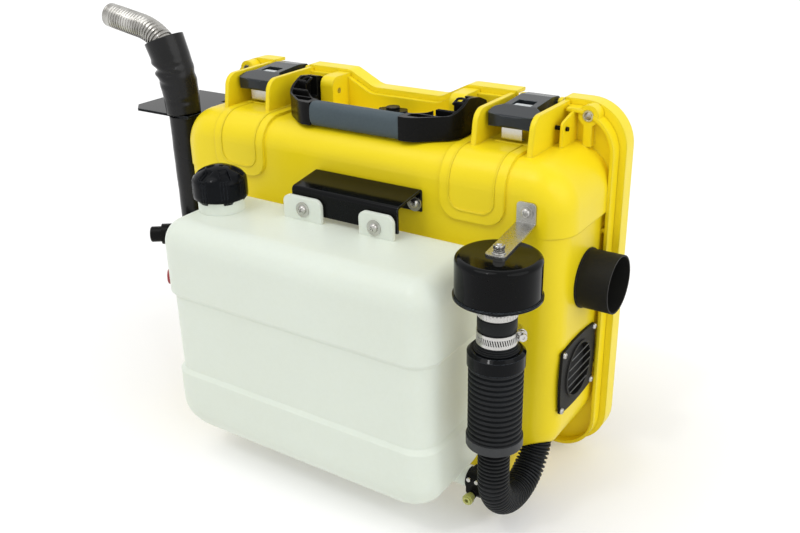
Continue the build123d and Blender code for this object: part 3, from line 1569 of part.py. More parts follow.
plug_names = ("power_plug", "control_plug")
for z, name, barrel, tip in zip(connector_zs, plug_names, plug_barrels, plug_tips):
    seat = Plane(
        origin=(
            corner_centre[0] + connector_dir[0] * (front_edge_r + 17.5),
            corner_centre[1] + connector_dir[1] * (front_edge_r + 17.5),
            z,
        ),
        x_dir=(0, 0, 1),
        z_dir=connector_dir,
    )
    with BuildPart() as plug:
        with BuildSketch(seat):
            Circle(connector_r)
        extrude(amount=barrel)
        with BuildSketch(seat.offset(barrel)):
            Circle(connector_r - 3)
        extrude(amount=tip)
        fillet(plug.faces().sort_by(Axis(seat.origin, seat.z_dir))[-1].edges(), 2)
    plug.part.label = name
    export_step(plug.part, f"parts/{name}.step")

with BuildPart() as button_screws:
    add(screw_set([(x, bracket_screw_z) for x in bracket_screws],
                  at_y(-base_depth - bracket_sheet), 4.5, 3.0, screw_r, 10.0, washer_r, 1.4))
    add(screw_set(tab_bolts, at_y(tab_front), 4.5, 3.0, screw_r, 14.0, washer_r, 1.2))
    add(screw_set([(strap_x, strap_screw_z)], at_y(-base_depth - strap_sheet),
                  4.5, 3.0, screw_r, 13.0, washer_r - 1, 1.2))
    left_face = Plane(
        origin=(plate_wall_x - exhaust_plate_sheet, 0, 0), x_dir=(0, -1, 0), z_dir=(-1, 0, 0)
    )
    add(screw_set([(-y, z) for y, z in plate_screws], left_face, 4.5, 3.0, screw_r, 13.0))
button_screws.part.label = "button_screws"
export_step(button_screws.part, "parts/button_screws.step")

# ---------------------------------------------------------------- heater inside
wheel_x = -heater_half + 6
motor_x = wheel_x + 52
burner_x = motor_x + 74
air_stub_x = burner_x - 30
air_stub_r = 11.0
gas_stub_x = burner_x + 24
gas_stub_r = 12.0
bench_back = -6.0
bench_front = -base_depth + 28
with BuildPart() as heater_bench:
    with BuildSketch(at_y(bench_back)):
        with BuildLine():
            FilletPolyline(
                (-bench_half - 16, case_floor + case_wall + bench_sheet / 2),
                (-bench_half, case_floor + case_wall + bench_sheet / 2),
                (-bench_half, bench_z - bench_sheet / 2), (bench_half, bench_z - bench_sheet / 2),
                (bench_half, case_floor + case_wall + bench_sheet / 2),
                (bench_half + 16, case_floor + case_wall + bench_sheet / 2),
                radius=3,
            )
        trace(line_width=bench_sheet)
    extrude(amount=bench_back - bench_front)
    with BuildSketch(at_z(bench_z - 5)):
        with Locations((air_stub_x, duct_y)):
            Circle(air_stub_r + 0.5)
        with Locations((gas_stub_x, duct_y)):
            Circle(gas_stub_r + 0.5)
    extrude(amount=10, mode=Mode.SUBTRACT)
heater_bench.part.label = "heater_bench"
export_step(heater_bench.part, "parts/heater_bench.step")

heater_low_z = bench_z
heater_top_z = bench_z + heater_height


def heater_case(low, high, inset):
    """Half of the heater's casing, cut from its rounded section."""
    with BuildPart() as half:
        with BuildSketch(at_x(-heater_half)):
            with Locations((duct_y, (heater_low_z + heater_top_z) / 2)):
                RectangleRounded(
                    heater_width - 2 * inset, heater_height - 2 * inset, heater_corner_r - inset
                )
        extrude(amount=2 * heater_half)
        with BuildSketch(at_x(-heater_half)):
            with Locations((duct_y, (low + high) / 2)):
                Rectangle(heater_width, high - low)
        extrude(amount=2 * heater_half, mode=Mode.INTERSECT)
    return half.part


with BuildPart() as heater_shell_low:
    add(heater_case(heater_low_z, duct_z - 5, 0))
    add(heater_case(heater_low_z, duct_z, heater_wall), mode=Mode.SUBTRACT)
    with BuildSketch(at_z(bench_z - 5)):
        with Locations((air_stub_x, duct_y)):
            Circle(air_stub_r + 0.5)
        with Locations((gas_stub_x, duct_y)):
            Circle(gas_stub_r + 0.5)
    extrude(amount=12, mode=Mode.SUBTRACT)
heater_shell_low.part.label = "heater_shell_low"
export_step(heater_shell_low.part, "parts/heater_shell_low.step")

with BuildPart() as heater_shell_top:
    add(heater_case(duct_z - 5, heater_top_z, 0))
    add(heater_case(duct_z - 10, heater_top_z, heater_wall), mode=Mode.SUBTRACT)
heater_shell_top.part.label = "heater_shell_top"
export_step(heater_shell_top.part, "parts/heater_shell_top.step")

heater_mid_z = (heater_low_z + heater_top_z) / 2
grille_r = heater_width * 0.4
with BuildPart() as inlet_grille:
    with BuildSketch(at_x(-heater_half - 4)):
        with Locations((duct_y, heater_mid_z)):
            RectangleRounded(heater_width, heater_height, heater_corner_r)
            for r in (grille_r, grille_r - 10, grille_r - 20, grille_r - 30):
                Circle(r, mode=Mode.SUBTRACT)
                Circle(r - 5)
            Rectangle(2 * grille_r, 5)
            Rectangle(5, 2 * grille_r)
    extrude(amount=4)
inlet_grille.part.label = "inlet_grille"
export_step(inlet_grille.part, "parts/inlet_grille.step")

with BuildPart() as outlet_hood:
    hood_end = case_half_width - case_wall - 3
    for inset, mode in ((0, Mode.ADD), (heater_wall, Mode.SUBTRACT)):
        with BuildSketch(at_x(heater_half)):
            with Locations((duct_y, heater_mid_z)):
                RectangleRounded(
                    heater_width - 2 * inset, heater_height - 2 * inset, heater_corner_r - inset
                )
        with BuildSketch(at_x(hood_end)):
            with Locations((duct_y, duct_z)):
                Circle(duct_r + 1 - inset)
        loft(mode=mode)
outlet_hood.part.label = "outlet_hood"
export_step(outlet_hood.part, "parts/outlet_hood.step")

with BuildPart() as blower_rotor:
    with BuildSketch(at_x(wheel_x)):
        with Locations((duct_y, duct_z)):
            Circle(14)
    extrude(amount=22)
    with BuildSketch(at_x(wheel_x + 2)):
        with Locations((duct_y, duct_z)):
            Circle(13)
            with PolarLocations(26, 9):
                Rectangle(30, 2.2)
    extrude(amount=18)
    with BuildSketch(at_x(wheel_x)):
        with Locations((duct_y, duct_z)):
            Circle(shaft_r)
    extrude(amount=burner_x - 22 - wheel_x)
    with BuildSketch(at_x(burner_x - 36)):
        with Locations((duct_y, duct_z)):
            Circle(26)
    extrude(amount=10)
blower_rotor.part.label = "blower_rotor"
export_step(blower_rotor.part, "parts/blower_rotor.step")

with BuildPart() as motor:
    with BuildSketch(at_x(motor_x - 22)):
        with Locations((duct_y, duct_z)):
            Circle(motor_r)
            Circle(shaft_r + running, mode=Mode.SUBTRACT)
    extrude(amount=44)
motor.part.label = "motor"
export_step(motor.part, "parts/motor.step")

with BuildPart() as air_housing:
    # Partition that fills the casing and carries the motor
    with BuildSketch(at_x(motor_x + 22)):
        with Locations((duct_y, heater_mid_z)):
            RectangleRounded(
                heater_width - 2 * heater_wall, heater_height - 2 * heater_wall,
                heater_corner_r - heater_wall,
            )
        with Locations((duct_y, duct_z)):
            with PolarLocations(43, 8):
                Circle(8, mode=Mode.SUBTRACT)
            Circle(shaft_r + 0.6, mode=Mode.SUBTRACT)
    extrude(amount=burner_x - 48 - motor_x - 22)
    with BuildSketch(at_x(burner_x - 48)):
        with Locations((duct_y, duct_z)):
            Circle(exchanger_r)
            Circle(shaft_r + 0.6, mode=Mode.SUBTRACT)
    extrude(amount=36)
    with BuildSketch(at_x(burner_x - 40)):
        with Locations((duct_y, duct_z)):
            Circle(exchanger_r - 5)
    extrude(amount=20, mode=Mode.SUBTRACT)
    with BuildSketch(at_z(duct_z - exchanger_r + 2)):
        with Locations((air_stub_x, duct_y)):
            Circle(air_stub_r)
    extrude(amount=-(duct_z - exchanger_r + 2 - bench_z + 20))
    with BuildSketch(at_z(duct_z - exchanger_r + 6)):
        with Locations((air_stub_x, duct_y)):
            Circle(air_stub_r - 2)
    extrude(amount=-(duct_z - exchanger_r + 6 - bench_z + 21), mode=Mode.SUBTRACT)
air_housing.part.label = "air_housing"
export_step(air_housing.part, "parts/air_housing.step")

exchanger_length = heater_half - 30 - (burner_x - 12)
with BuildPart() as heat_exchanger:
    with BuildSketch(at_x(burner_x - 12)):
        with Locations((duct_y, duct_z)):
            Circle(exchanger_r)
            with PolarLocations(exchanger_r + 6, exchanger_fins):
                Rectangle(18, 2.4)
    extrude(amount=exchanger_length)
    with BuildSketch(at_x(burner_x - 12)):
        with Locations((duct_y, duct_z)):
            Circle(exchanger_r - 4)
    extrude(amount=exchanger_length - 6, mode=Mode.SUBTRACT)
    with BuildSketch(at_z(duct_z - exchanger_r + 2)):
        with Locations((gas_stub_x, duct_y)):
            Circle(gas_stub_r)
    extrude(amount=-(duct_z - exchanger_r + 2 - bench_z + 22))
    with BuildSketch(at_z(duct_z - exchanger_r + 6)):
        with Locations((gas_stub_x, duct_y)):
            Circle(gas_stub_r - 2)
    extrude(amount=-(duct_z - exchanger_r + 6 - bench_z + 23), mode=Mode.SUBTRACT)
    with BuildSketch(at_z(duct_z)):
        with Locations((burner_x + 2, duct_y)):
            Circle(4.5)
    extrude(amount=60, mode=Mode.SUBTRACT)
heat_exchanger.part.label = "heat_exchanger"
export_step(heat_exchanger.part, "parts/heat_exchanger.step")

with BuildPart() as glow_plug:
    with BuildSketch(at_z(duct_z + exchanger_r - 4)):
        with Locations((burner_x + 2, duct_y)):
            Circle(4.5)
    extrude(amount=12)
    with BuildSketch(at_z(duct_z + exchanger_r + 8)):
        with Locations((burner_x + 2, duct_y)):
            RegularPolygon(5, 6)
    extrude(amount=8)
glow_plug.part.label = "glow_plug"
export_step(glow_plug.part, "parts/glow_plug.step")

with BuildPart() as control_unit:
    with BuildSketch(at_z(heater_top_z - heater_wall)):
        with Locations((motor_x + 2, duct_y)):
            RectangleRounded(40, 60, 4)
    extrude(amount=-13)
control_unit.part.label = "control_unit"
export_step(control_unit.part, "parts/control_unit.step")

with BuildPart() as pump_mount:
    with BuildSketch(at_z(case_floor + case_wall)):
        with Locations((pump_x, pump_y)):
            RectangleRounded(36, 32, 6)
    extrude(amount=18)
pump_mount.part.label = "pump_mount"
export_step(pump_mount.part, "parts/pump_mount.step")

with BuildPart() as fuel_pump:
    with BuildSketch(at_z(case_floor + case_wall + 18)):
        with Locations((pump_x, pump_y)):
            Circle(12)
    extrude(amount=62)
    with BuildSketch(at_z(case_floor + case_wall + 80)):
        with Locations((pump_x, pump_y)):
            Circle(8)
    extrude(amount=10)
    with BuildSketch(at_z(case_floor + case_wall + 90)):
        with Locations((pump_x, pump_y)):
            Circle(2.5)
    extrude(amount=14)
fuel_pump.part.label = "fuel_pump"
export_step(fuel_pump.part, "parts/fuel_pump.step")

print("hose ribs", hose_ribs, "hose length", round(hose_length, 1))
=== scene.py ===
from contextlib import contextmanager
from math import acos, cos, exp, pi, radians, sin, sqrt

import bmesh
import bpy
from mathutils import Matrix, Vector


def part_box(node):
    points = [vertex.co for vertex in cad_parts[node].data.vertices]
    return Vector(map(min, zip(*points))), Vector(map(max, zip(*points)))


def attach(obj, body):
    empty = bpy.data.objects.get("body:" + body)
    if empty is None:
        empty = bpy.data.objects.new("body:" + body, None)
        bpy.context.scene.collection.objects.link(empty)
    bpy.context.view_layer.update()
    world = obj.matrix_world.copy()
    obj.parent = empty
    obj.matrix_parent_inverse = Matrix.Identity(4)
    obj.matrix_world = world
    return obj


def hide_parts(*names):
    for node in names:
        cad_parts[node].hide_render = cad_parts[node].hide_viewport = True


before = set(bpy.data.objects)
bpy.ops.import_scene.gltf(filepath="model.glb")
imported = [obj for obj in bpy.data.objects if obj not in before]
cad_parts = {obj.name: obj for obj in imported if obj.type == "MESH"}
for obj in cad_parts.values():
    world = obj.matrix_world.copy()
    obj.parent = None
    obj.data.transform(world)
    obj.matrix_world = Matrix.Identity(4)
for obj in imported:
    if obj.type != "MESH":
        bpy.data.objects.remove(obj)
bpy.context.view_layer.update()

scene = bpy.context.scene
scene.view_settings.view_transform = "Standard"
MM = 0.001

# Middles of round parts in millimetres: (x, y) where they stand upright, (y, z) in the side wall
INTAKE = (217.0, -190.0)
EXHAUST = (-266.0, -80.0)
FILLER = (-118.0, -180.0)
VENT = (-58.0, 142.0)
LATCH_X = 161.0

# The signs of the four corners of a rounded rectangle, and the heading where each one's arc starts
CORNERS = ((1, 1, 0), (-1, 1, 90), (-1, -1, 180), (1, -1, 270))


# ---------------------------------------------------------------- camera, lamps and floor
def aim_camera():
    """Camera at the viewing angle of the picture, with its slight roll."""
    place = Vector((0.55988, -0.85457, 0.63488))
    turn, tilt, roll = radians(33.855), radians(24.086), radians(-1.214)
    ahead = Vector((-sin(turn) * cos(tilt), cos(turn) * cos(tilt), -sin(tilt)))
    right = Vector((cos(turn), sin(turn), 0))
    up = right.cross(ahead)
    right, up = right * cos(roll) + up * sin(roll), up * cos(roll) - right * sin(roll)
    lens = bpy.data.cameras.new("camera")
    lens.lens = 42.3
    lens.sensor_width = 36
    lens.clip_start = 0.02
    camera = bpy.data.objects.new("camera", lens)
    turned = Matrix((right, up, -ahead)).transposed().to_4x4()
    camera.matrix_world = Matrix.Translation(place) @ turned
    scene.collection.objects.link(camera)
    scene.camera = camera


def put(tree, kind, sockets=None, **settings):
    """Adds a node, sets it up, and gives its inputs a value or a link."""
    node = tree.nodes.new(kind)
    for key, value in settings.items():
        setattr(node, key, value)
    for key, value in (sockets or {}).items():
        if isinstance(value, bpy.types.NodeSocket):
            tree.links.new(value, node.inputs[key])
        else:
            node.inputs[key].default_value = value
    return node


def get(tree, kind, sockets=None, **settings):
    """The first output of a new node."""
    return put(tree, kind, sockets, **settings).outputs[0]


def calc(tree, operation, *values, clamp=False):
    """The result of a Math node on the given values."""
    sockets = dict(enumerate(values))
    return get(tree, "ShaderNodeMath", sockets, operation=operation, use_clamp=clamp)


def vector(tree, x=0.0, y=0.0, z=0.0):
    """A vector of three values."""
    return get(tree, "ShaderNodeCombineXYZ", {"X": x, "Y": y, "Z": z})


def remap(tree, value, low, high, to_low=0.0, to_high=1.0, **settings):
    """A value stretched from one range to another."""
    return put(tree, "ShaderNodeMapRange", {
        "Value": value, "From Min": low, "From Max": high, "To Min": to_low, "To Max": to_high},
        **settings).outputs["Result"]


def blend(tree, share, low, high):
    """A number between two others."""
    return get(tree, "ShaderNodeMix", {"Factor": share, 2: low, 3: high}, data_type="FLOAT")


def tint(tree, share, under, over):
    """A colour between two others."""
    sockets = {"Factor": share, 6: under, 7: over}
    return put(tree, "ShaderNodeMix", sockets, data_type="RGBA").outputs[2]


def noise(tree, scale, detail, stretch=(1, 1, 1)):
    """Noise fixed to the object, drawn out along the stretch."""
    place = put(tree, "ShaderNodeTexCoord").outputs["Object"]
    if stretch != (1, 1, 1):
        place = get(tree, "ShaderNodeVectorMath", {0: place, 1: stretch}, operation="MULTIPLY")
    sockets = {"Vector": place, "Scale": scale, "Detail": detail}
    return put(tree, "ShaderNodeTexNoise", sockets).outputs["Fac"]


def seen_directly(tree):
    """1 for what the camera sees, straight or in gloss and glass."""
    path = put(tree, "ShaderNodeLightPath").outputs
    either = calc(tree, "MAXIMUM", path["Is Camera Ray"], path["Is Glossy Ray"])
    return calc(tree, "MAXIMUM", either, path["Is Transmission Ray"])


def light_studio():
    """A white surrounding, darker as light than as seen, and four soft suns."""
    world = bpy.data.worlds.new("studio")
    scene.world = world
    world.use_nodes = True
    tree = world.node_tree
    background = tree.nodes["Background"]
    background.inputs["Color"].default_value = (1, 1, 1, 1)
    level = remap(tree, seen_directly(tree), 0.0, 1.0, 0.72, 1.0)
    tree.links.new(level, background.inputs["Strength"])
    for name, strength, spread, heading in (
        ("key", 0.75, 40, (0.32, 0.50, -1.2)),
        ("fill", 0.75, 50, (-1.0, 0.10, -0.60)),
        ("spark", 0.22, 5, (0.15, 0.62, -1.0)),
        ("glint", 0.11, 4, (-0.80, 0.55, -0.75)),
    ):
        lamp = bpy.data.lights.new(name, "SUN")
        lamp.energy = strength
        lamp.angle = radians(spread)
        holder = bpy.data.objects.new(name, lamp)
        holder.rotation_euler = Vector(heading).to_track_quat("-Z", "Y").to_euler()
        scene.collection.objects.link(holder)


def lay_floor():
    """A pale floor that glows a little where it is seen, so that it meets the white behind it."""
    mesh = bpy.data.meshes.new("floor")
    half = 14.0
    corners = [(-half, -half, 0), (half, -half, 0), (half, half, 0), (-half, half, 0)]
    mesh.from_pydata(corners, [], [(0, 1, 2, 3)])
    floor = bpy.data.objects.new("floor", mesh)
    scene.collection.objects.link(floor)
    material = bpy.data.materials.new("pale_floor")
    material.use_nodes = True
    tree = material.node_tree
    surface = tree.nodes["Principled BSDF"]
    for label, value in (
        ("Base Color", (0.80, 0.80, 0.80, 1)), ("Roughness", 0.9), ("Specular IOR Level", 0.1),
    ):
        surface.inputs[label].default_value = value
    lift = put(tree, "ShaderNodeEmission", {"Color": (1, 1, 1, 1)})
    level = calc(tree, "MULTIPLY", seen_directly(tree), 0.21)
    tree.links.new(level, lift.inputs["Strength"])
    both = put(tree, "ShaderNodeAddShader", {0: surface.outputs[0], 1: lift.outputs[0]})
    tree.links.new(both.outputs[0], tree.nodes["Material Output"].inputs["Surface"])
    mesh.materials.append(material)


# ---------------------------------------------------------------- shared effects
SOCKETS = {
    "c": "NodeSocketColor", "f": "NodeSocketFloat", "g": "NodeSocketGeometry",
    "i": "NodeSocketInt", "m": "NodeSocketMaterial", "v": "NodeSocketVector",
}


def group(name, kind, inputs, outputs):
    """An empty node group with its sockets: the tree, its inputs, and the node for its results."""
    tree = bpy.data.node_groups.new(name, kind)
    for label, letter, *value in inputs:
        socket = tree.interface.new_socket(name=label, in_out="INPUT", socket_type=SOCKETS[letter])
        if value:
            socket.default_value = value[0]
    for label, letter in outputs:
        tree.interface.new_socket(name=label, in_out="OUTPUT", socket_type=SOCKETS[letter])
    given = tree.nodes.new("NodeGroupInput").outputs
    return tree, given, tree.nodes.new("NodeGroupOutput")


def effect(name, inputs, outputs):
    """An empty shader node group."""
    return group(name, "ShaderNodeTree", inputs, outputs)


def make_colour_drift():
    """Slow and fine drift between two shades of one colour."""
    tree, given, result = effect("colour_drift", [
        ("Light", "c", (1, 1, 1, 1)), ("Dark", "c", (0, 0, 0, 1)), ("Scale", "f", 12.0),
        ("Fine", "f", 0.3)], [("Color", "c")])
    slow = noise(tree, given["Scale"], 3.0)
    quick = noise(tree, calc(tree, "MULTIPLY", given["Scale"], 37.0), 2.0)
    share = remap(tree, blend(tree, given["Fine"], slow, quick), 0.3, 0.7)
    tree.links.new(tint(tree, share, given["Dark"], given["Light"]), result.inputs["Color"])
    return tree


def make_fine_grain():
    """Moulded or cast grain: a height, and a slower value for the haze of the surface."""
    tree, given, result = effect(
        "fine_grain", [("Scale", "f", 900.0), ("Pits", "f", 0.3)], [("Height", "f"), ("Haze", "f")])
    place = put(tree, "ShaderNodeTexCoord").outputs["Object"]
    cells = put(tree, "ShaderNodeTexVoronoi", {"Vector": place, "Scale": given["Scale"]})
    fine = noise(tree, given["Scale"], 2.0)
    height = blend(tree, given["Pits"], fine, cells.outputs["Distance"])
    tree.links.new(height, result.inputs["Height"])
    slow = noise(tree, calc(tree, "MULTIPLY", given["Scale"], 0.02), 4.0)
    tree.links.new(slow, result.inputs["Haze"])
    return tree


def make_edge_highlight_and_wear():
    """1 along edges, 0 on open faces. The finishes lighten these edges as painted highlight, on
    some together with rubbed wear.
    """
    tree, given, result = effect("edge_highlight_and_wear", [
        ("Radius", "f", 0.001), ("Gain", "f", 6.0), ("Breakup", "f", 0.5), ("Scale", "f", 300.0)],
        [("Mask", "f")])
    rounded = get(tree, "ShaderNodeBevel", {"Radius": given["Radius"]}, samples=4)
    flat = put(tree, "ShaderNodeNewGeometry").outputs["Normal"]
    together = put(tree, "ShaderNodeVectorMath", {0: rounded, 1: flat}, operation="DOT_PRODUCT")
    apart = calc(tree, "SUBTRACT", 1.0, together.outputs["Value"])
    edge = calc(tree, "MULTIPLY", apart, given["Gain"], clamp=True)
    least = calc(tree, "SUBTRACT", 1.0, given["Breakup"])
    edge_sheen_and_wear = remap(tree, noise(tree, given["Scale"], 4.0), 0.35, 0.65, least)
    tree.links.new(calc(tree, "MULTIPLY", edge, edge_sheen_and_wear), result.inputs["Mask"])
    return tree


def make_rub_lines():
    """Fine lines along one direction, for rolled and brushed metal."""
    tree, given, result = effect(
        "rub_lines", [("Stretch", "v", (1.0, 1.0, 20.0)), ("Scale", "f", 400.0)], [("Lines", "f")])
    lines = noise(tree, given["Scale"], 3.0, given["Stretch"])
    tree.links.new(lines, result.inputs["Lines"])
    return tree


drift, grain, highlight_and_wear, rub = make_colour_drift(), make_fine_grain(), make_edge_highlight_and_wear(), make_rub_lines()


def use(tree, shared, **values):
    """Places a shared effect in a material, with its own values."""
    return put(tree, "ShaderNodeGroup", values, node_tree=shared).outputs


def finish(name, light, dark, rough, grain_scale=900.0, relief=0.05, rounding=0.6, drift_scale=12.0,
           pits=0.3, edge_sheen_and_wear=None, stretch=None, shine=0.5, metal=0.0, **sockets):
    """A solid material: two shades, drifting roughness, grain, soft edges, and lighter edges that
    are painted highlight, with rubbed wear on some.
    """
    material = bpy.data.materials.new(name)
    material.use_nodes = True
    tree = material.node_tree
    surface = tree.nodes["Principled BSDF"]
    for label, value in dict(sockets, Specular_IOR_Level=shine, Metallic=metal).items():
        surface.inputs[label.replace("_", " ")].default_value = value
    shades = use(tree, drift, Light=(*light, 1), Dark=(*dark, 1), Scale=drift_scale, Fine=0.3)
    colour = shades["Color"]
    made = use(tree, grain, Scale=grain_scale, Pits=pits)
    height = made["Height"]
    haze = remap(tree, made["Haze"], 0.3, 0.7, *rough)
    if stretch:
        height = use(tree, rub, Stretch=stretch)["Lines"]
        streaks = calc(tree, "MULTIPLY", calc(tree, "SUBTRACT", height, 0.5), 0.25)
        haze = calc(tree, "ADD", haze, streaks)
    if edge_sheen_and_wear:
        highlight_and_wear_tone, gain, radius = edge_sheen_and_wear
        mask = use(tree, highlight_and_wear, Radius=radius * MM, Gain=gain, Breakup=0.6)["Mask"]
        # The edge tone is a painted highlight along edges, with rubbed wear on some finishes
        colour = tint(tree, mask, colour, (*highlight_and_wear_tone, 1))
    tree.links.new(colour, surface.inputs["Base Color"])
    tree.links.new(haze, surface.inputs["Roughness"])
    soft = get(tree, "ShaderNodeBevel", {"Radius": rounding * MM}, samples=4)
    bump = put(tree, "ShaderNodeBump", {
        "Strength": 1.0, "Distance": relief * MM, "Height": height, "Normal": soft})
    tree.links.new(bump.outputs["Normal"], surface.inputs["Normal"])
    return material


def plain(value):
    """A grey."""
    return (value, value, value)


# Each finish's edge tone lightens its edges. On the case, the lid, the black enamel parts, the
# latch levers, the vent plate and the pipe it is a painted highlight. On the other finishes it is
# painted highlight together with rubbed wear.
finishes = {
    "yellow_case": finish(
        "yellow_polypropylene", (0.90, 0.715, 0.012), (0.87, 0.675, 0.008), (0.30, 0.42),
        1100, 0.035, 2.2, edge_sheen_and_wear=((0.95, 0.79, 0.05), 1.2, 1.4), shine=0.28),
    # The lid's yellow is the case's yellow made lighter: painted light for the lid's top, which
    # faces the lamps
    "yellow_lid": finish(
        "yellow_lid_polypropylene_painted_lighter", (0.93, 0.755, 0.020), (0.89, 0.71, 0.015), (0.28, 0.42),
        1100, 0.035, 2.2, edge_sheen_and_wear=((0.95, 0.79, 0.05), 1.2, 1.4), shine=0.28),
    # The tank's warm emission is a painted glow: it stands in for light through the milky plastic
    # onto its shaded side, and for yellow light from the case
    "tank": finish(
        "milky_polyethylene_painted_glow", (0.54, 0.60, 0.55), (0.51, 0.565, 0.51), (0.34, 0.48),
        500, 0.05, 2.0, drift_scale=6.0, Subsurface_Weight=0.35, Subsurface_Radius=(1.0, 0.9, 0.7),
        Subsurface_Scale=0.012, Emission_Color=(1.0, 0.98, 0.80, 1), Emission_Strength=0.18,
        shine=0.4),
    "seal": finish(
        "black_sponge_rubber", plain(0.016), plain(0.009), (0.6, 0.8), 700, 0.1, shine=0.2),
    "black_rubber": finish(
        "black_ribbed_rubber", (0.014, 0.016, 0.018), plain(0.007), (0.34, 0.50),
        800, 0.04, 0.4, edge_sheen_and_wear=(plain(0.045), 3.0, 0.6), shine=0.16),
    "black_gloss": finish(
        "black_enamel", (0.004, 0.0048, 0.006), plain(0.0025), (0.06, 0.12),
        600, 0.012, 0.8, edge_sheen_and_wear=((0.16, 0.19, 0.22), 2.6, 0.9), shine=0.10),
    "black_plastic": finish(
        "black_moulded_plastic", plain(0.008), plain(0.004), (0.20, 0.32),
        900, 0.04, 0.6, edge_sheen_and_wear=(plain(0.075), 2.8, 0.8), shine=0.08),
    "black_cap": finish(
        "black_cap_plastic", (0.005, 0.006, 0.008), plain(0.003), (0.10, 0.18),
        900, 0.02, 0.5, edge_sheen_and_wear=((0.09, 0.10, 0.12), 2.8, 0.7), shine=0.07),
    "black_matt": finish(
        "matt_black_duct", (0.015, 0.0145, 0.012), plain(0.009), (0.46, 0.62),
        700, 0.08, edge_sheen_and_wear=(plain(0.09), 2.5, 0.5), shine=0.14),
    "slate": finish(
        "slate_latch_plastic", (0.017, 0.022, 0.026), (0.010, 0.013, 0.016), (0.16, 0.26),
        900, 0.04, 0.8, edge_sheen_and_wear=((0.20, 0.24, 0.26), 2.8, 1.2), shine=0.26),
    "slider": finish(
        "pale_grey_slider", (0.68, 0.71, 0.72), (0.58, 0.61, 0.62), (0.35, 0.5), 900, 0.03, 0.5),
    "grip": finish(
        "grey_soft_grip", (0.082, 0.108, 0.122), (0.062, 0.084, 0.097), (0.5, 0.68),
        1500, 0.08, 0.8, shine=0.2),
    "grey_collar": finish(
        "satin_grey_collar", (0.048, 0.052, 0.056), plain(0.034), (0.3, 0.42),
        700, 0.03, 0.5, edge_sheen_and_wear=(plain(0.12), 2.0, 0.6), shine=0.2),
    "stainless": finish(
        "stainless_sheet", (0.62, 0.61, 0.59), (0.48, 0.47, 0.45), (0.20, 0.32),
        800, 0.015, 0.4, stretch=(1.0, 1.0, 14.0), edge_sheen_and_wear=(plain(0.8), 2.0, 0.5), metal=1.0),
    "strap_steel": finish(
        "brushed_strap_steel", (0.55, 0.545, 0.52), (0.47, 0.465, 0.44), (0.24, 0.32),
        800, 0.008, 0.4, drift_scale=4.0, pits=0.05, stretch=(1.0, 1.0, 14.0),
        edge_sheen_and_wear=(plain(0.75), 2.0, 0.5), metal=1.0),
    # The pipe's dark shade is a painted dark reflection, scattered at random over the steel; its
    # edge tone is a painted highlight on the crests
    "pipe_steel": finish(
        "corrugated_steel", (0.62, 0.61, 0.58), (0.24, 0.23, 0.21), (0.18, 0.30),
        900, 0.02, 0.3, drift_scale=60.0, edge_sheen_and_wear=(plain(0.8), 3.0, 0.4), metal=1.0),
    "bright_screw": finish(
        "zinc_screw", (0.62, 0.61, 0.58), (0.40, 0.39, 0.37), (0.2, 0.36),
        900, 0.02, 0.3, drift_scale=90.0, edge_sheen_and_wear=(plain(0.85), 2.0, 0.3), metal=1.0),
    "cast": finish(
        "cast_aluminium", (0.46, 0.46, 0.45), (0.34, 0.34, 0.33), (0.45, 0.62),
        500, 0.2, 0.5, metal=0.9),
    "steel_pin": finish(
        "steel_pin", (0.48, 0.47, 0.45), (0.36, 0.35, 0.34), (0.25, 0.4),
        900, 0.02, 0.3, metal=1.0),
    "sleeve": finish(
        "black_heat_sleeve", (0.011, 0.011, 0.012), plain(0.007), (0.18, 0.30),
        420, 0.10, 0.5, drift_scale=30.0, shine=0.24),
    "foil": finish(
        "silver_foil_lining", (0.75, 0.76, 0.76), (0.55, 0.56, 0.57), (0.3, 0.5),
        240, 0.3, 0.3, drift_scale=60.0, metal=0.9),
    "paper": finish(
        "pleated_filter_paper", (0.62, 0.52, 0.33), (0.52, 0.42, 0.25), (0.8, 0.95),
        600, 0.15, 0.3),
    "amber": finish(
        "amber_nylon", (0.50, 0.52, 0.16), (0.38, 0.38, 0.09), (0.2, 0.35),
        600, 0.03, 0.5, Subsurface_Weight=0.3, Subsurface_Radius=(1.0, 0.8, 0.3),
        Subsurface_Scale=0.004),
    # Lighter front edges for the vent's slats: a painted highlight
    "bar_edge_highlight": finish(
        "painted_highlight_bar_edge", (0.10, 0.105, 0.105), plain(0.05), (0.3, 0.45),
        900, 0.03, 0.3, drift_scale=40.0, shine=0.3),
    "blush": finish(
        "rose_plug_plastic", (0.42, 0.05, 0.06), (0.30, 0.03, 0.035), (0.35, 0.5), 900, 0.03, 0.5),
}


# ---------------------------------------------------------------- making pieces
@contextmanager
def edited(mesh):
    """A mesh as a bmesh, which is written back at the end."""
    bm = bmesh.new()
    bm.from_mesh(mesh)
    yield bm
    bm.to_mesh(mesh)
    bm.free()


def tidy(mesh):
    """Merges doubles and turns every face outwards."""
    with edited(mesh) as bm:
        bmesh.ops.remove_doubles(bm, verts=bm.verts, dist=1e-6)
        bmesh.ops.recalc_face_normals(bm, faces=bm.faces)


def settle(piece, body, slot, *nodes):
    """Hands a finished piece to its body. The slot is not used."""
    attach(piece, body)
    if nodes:
        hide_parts(*nodes)
    return piece


def new_piece(name, mesh, *materials):
    """A mesh object at the origin with its materials."""
    piece = bpy.data.objects.new(name, mesh)
    scene.collection.objects.link(piece)
    for material in materials:
        mesh.materials.append(material)
    return piece


def add(name, mesh, look, body, slot, *nodes):
    """A finished piece in one look, on its body. The slot is not used."""
    return settle(new_piece(name, mesh, finishes[look]), body, slot, *nodes)


def rule(name, inputs):
    """An empty Geometry Nodes group: geometry in and out, and its own inputs."""
    return group(name, "GeometryNodeTree", [("Geometry", "g"), *inputs], [("Geometry", "g")])


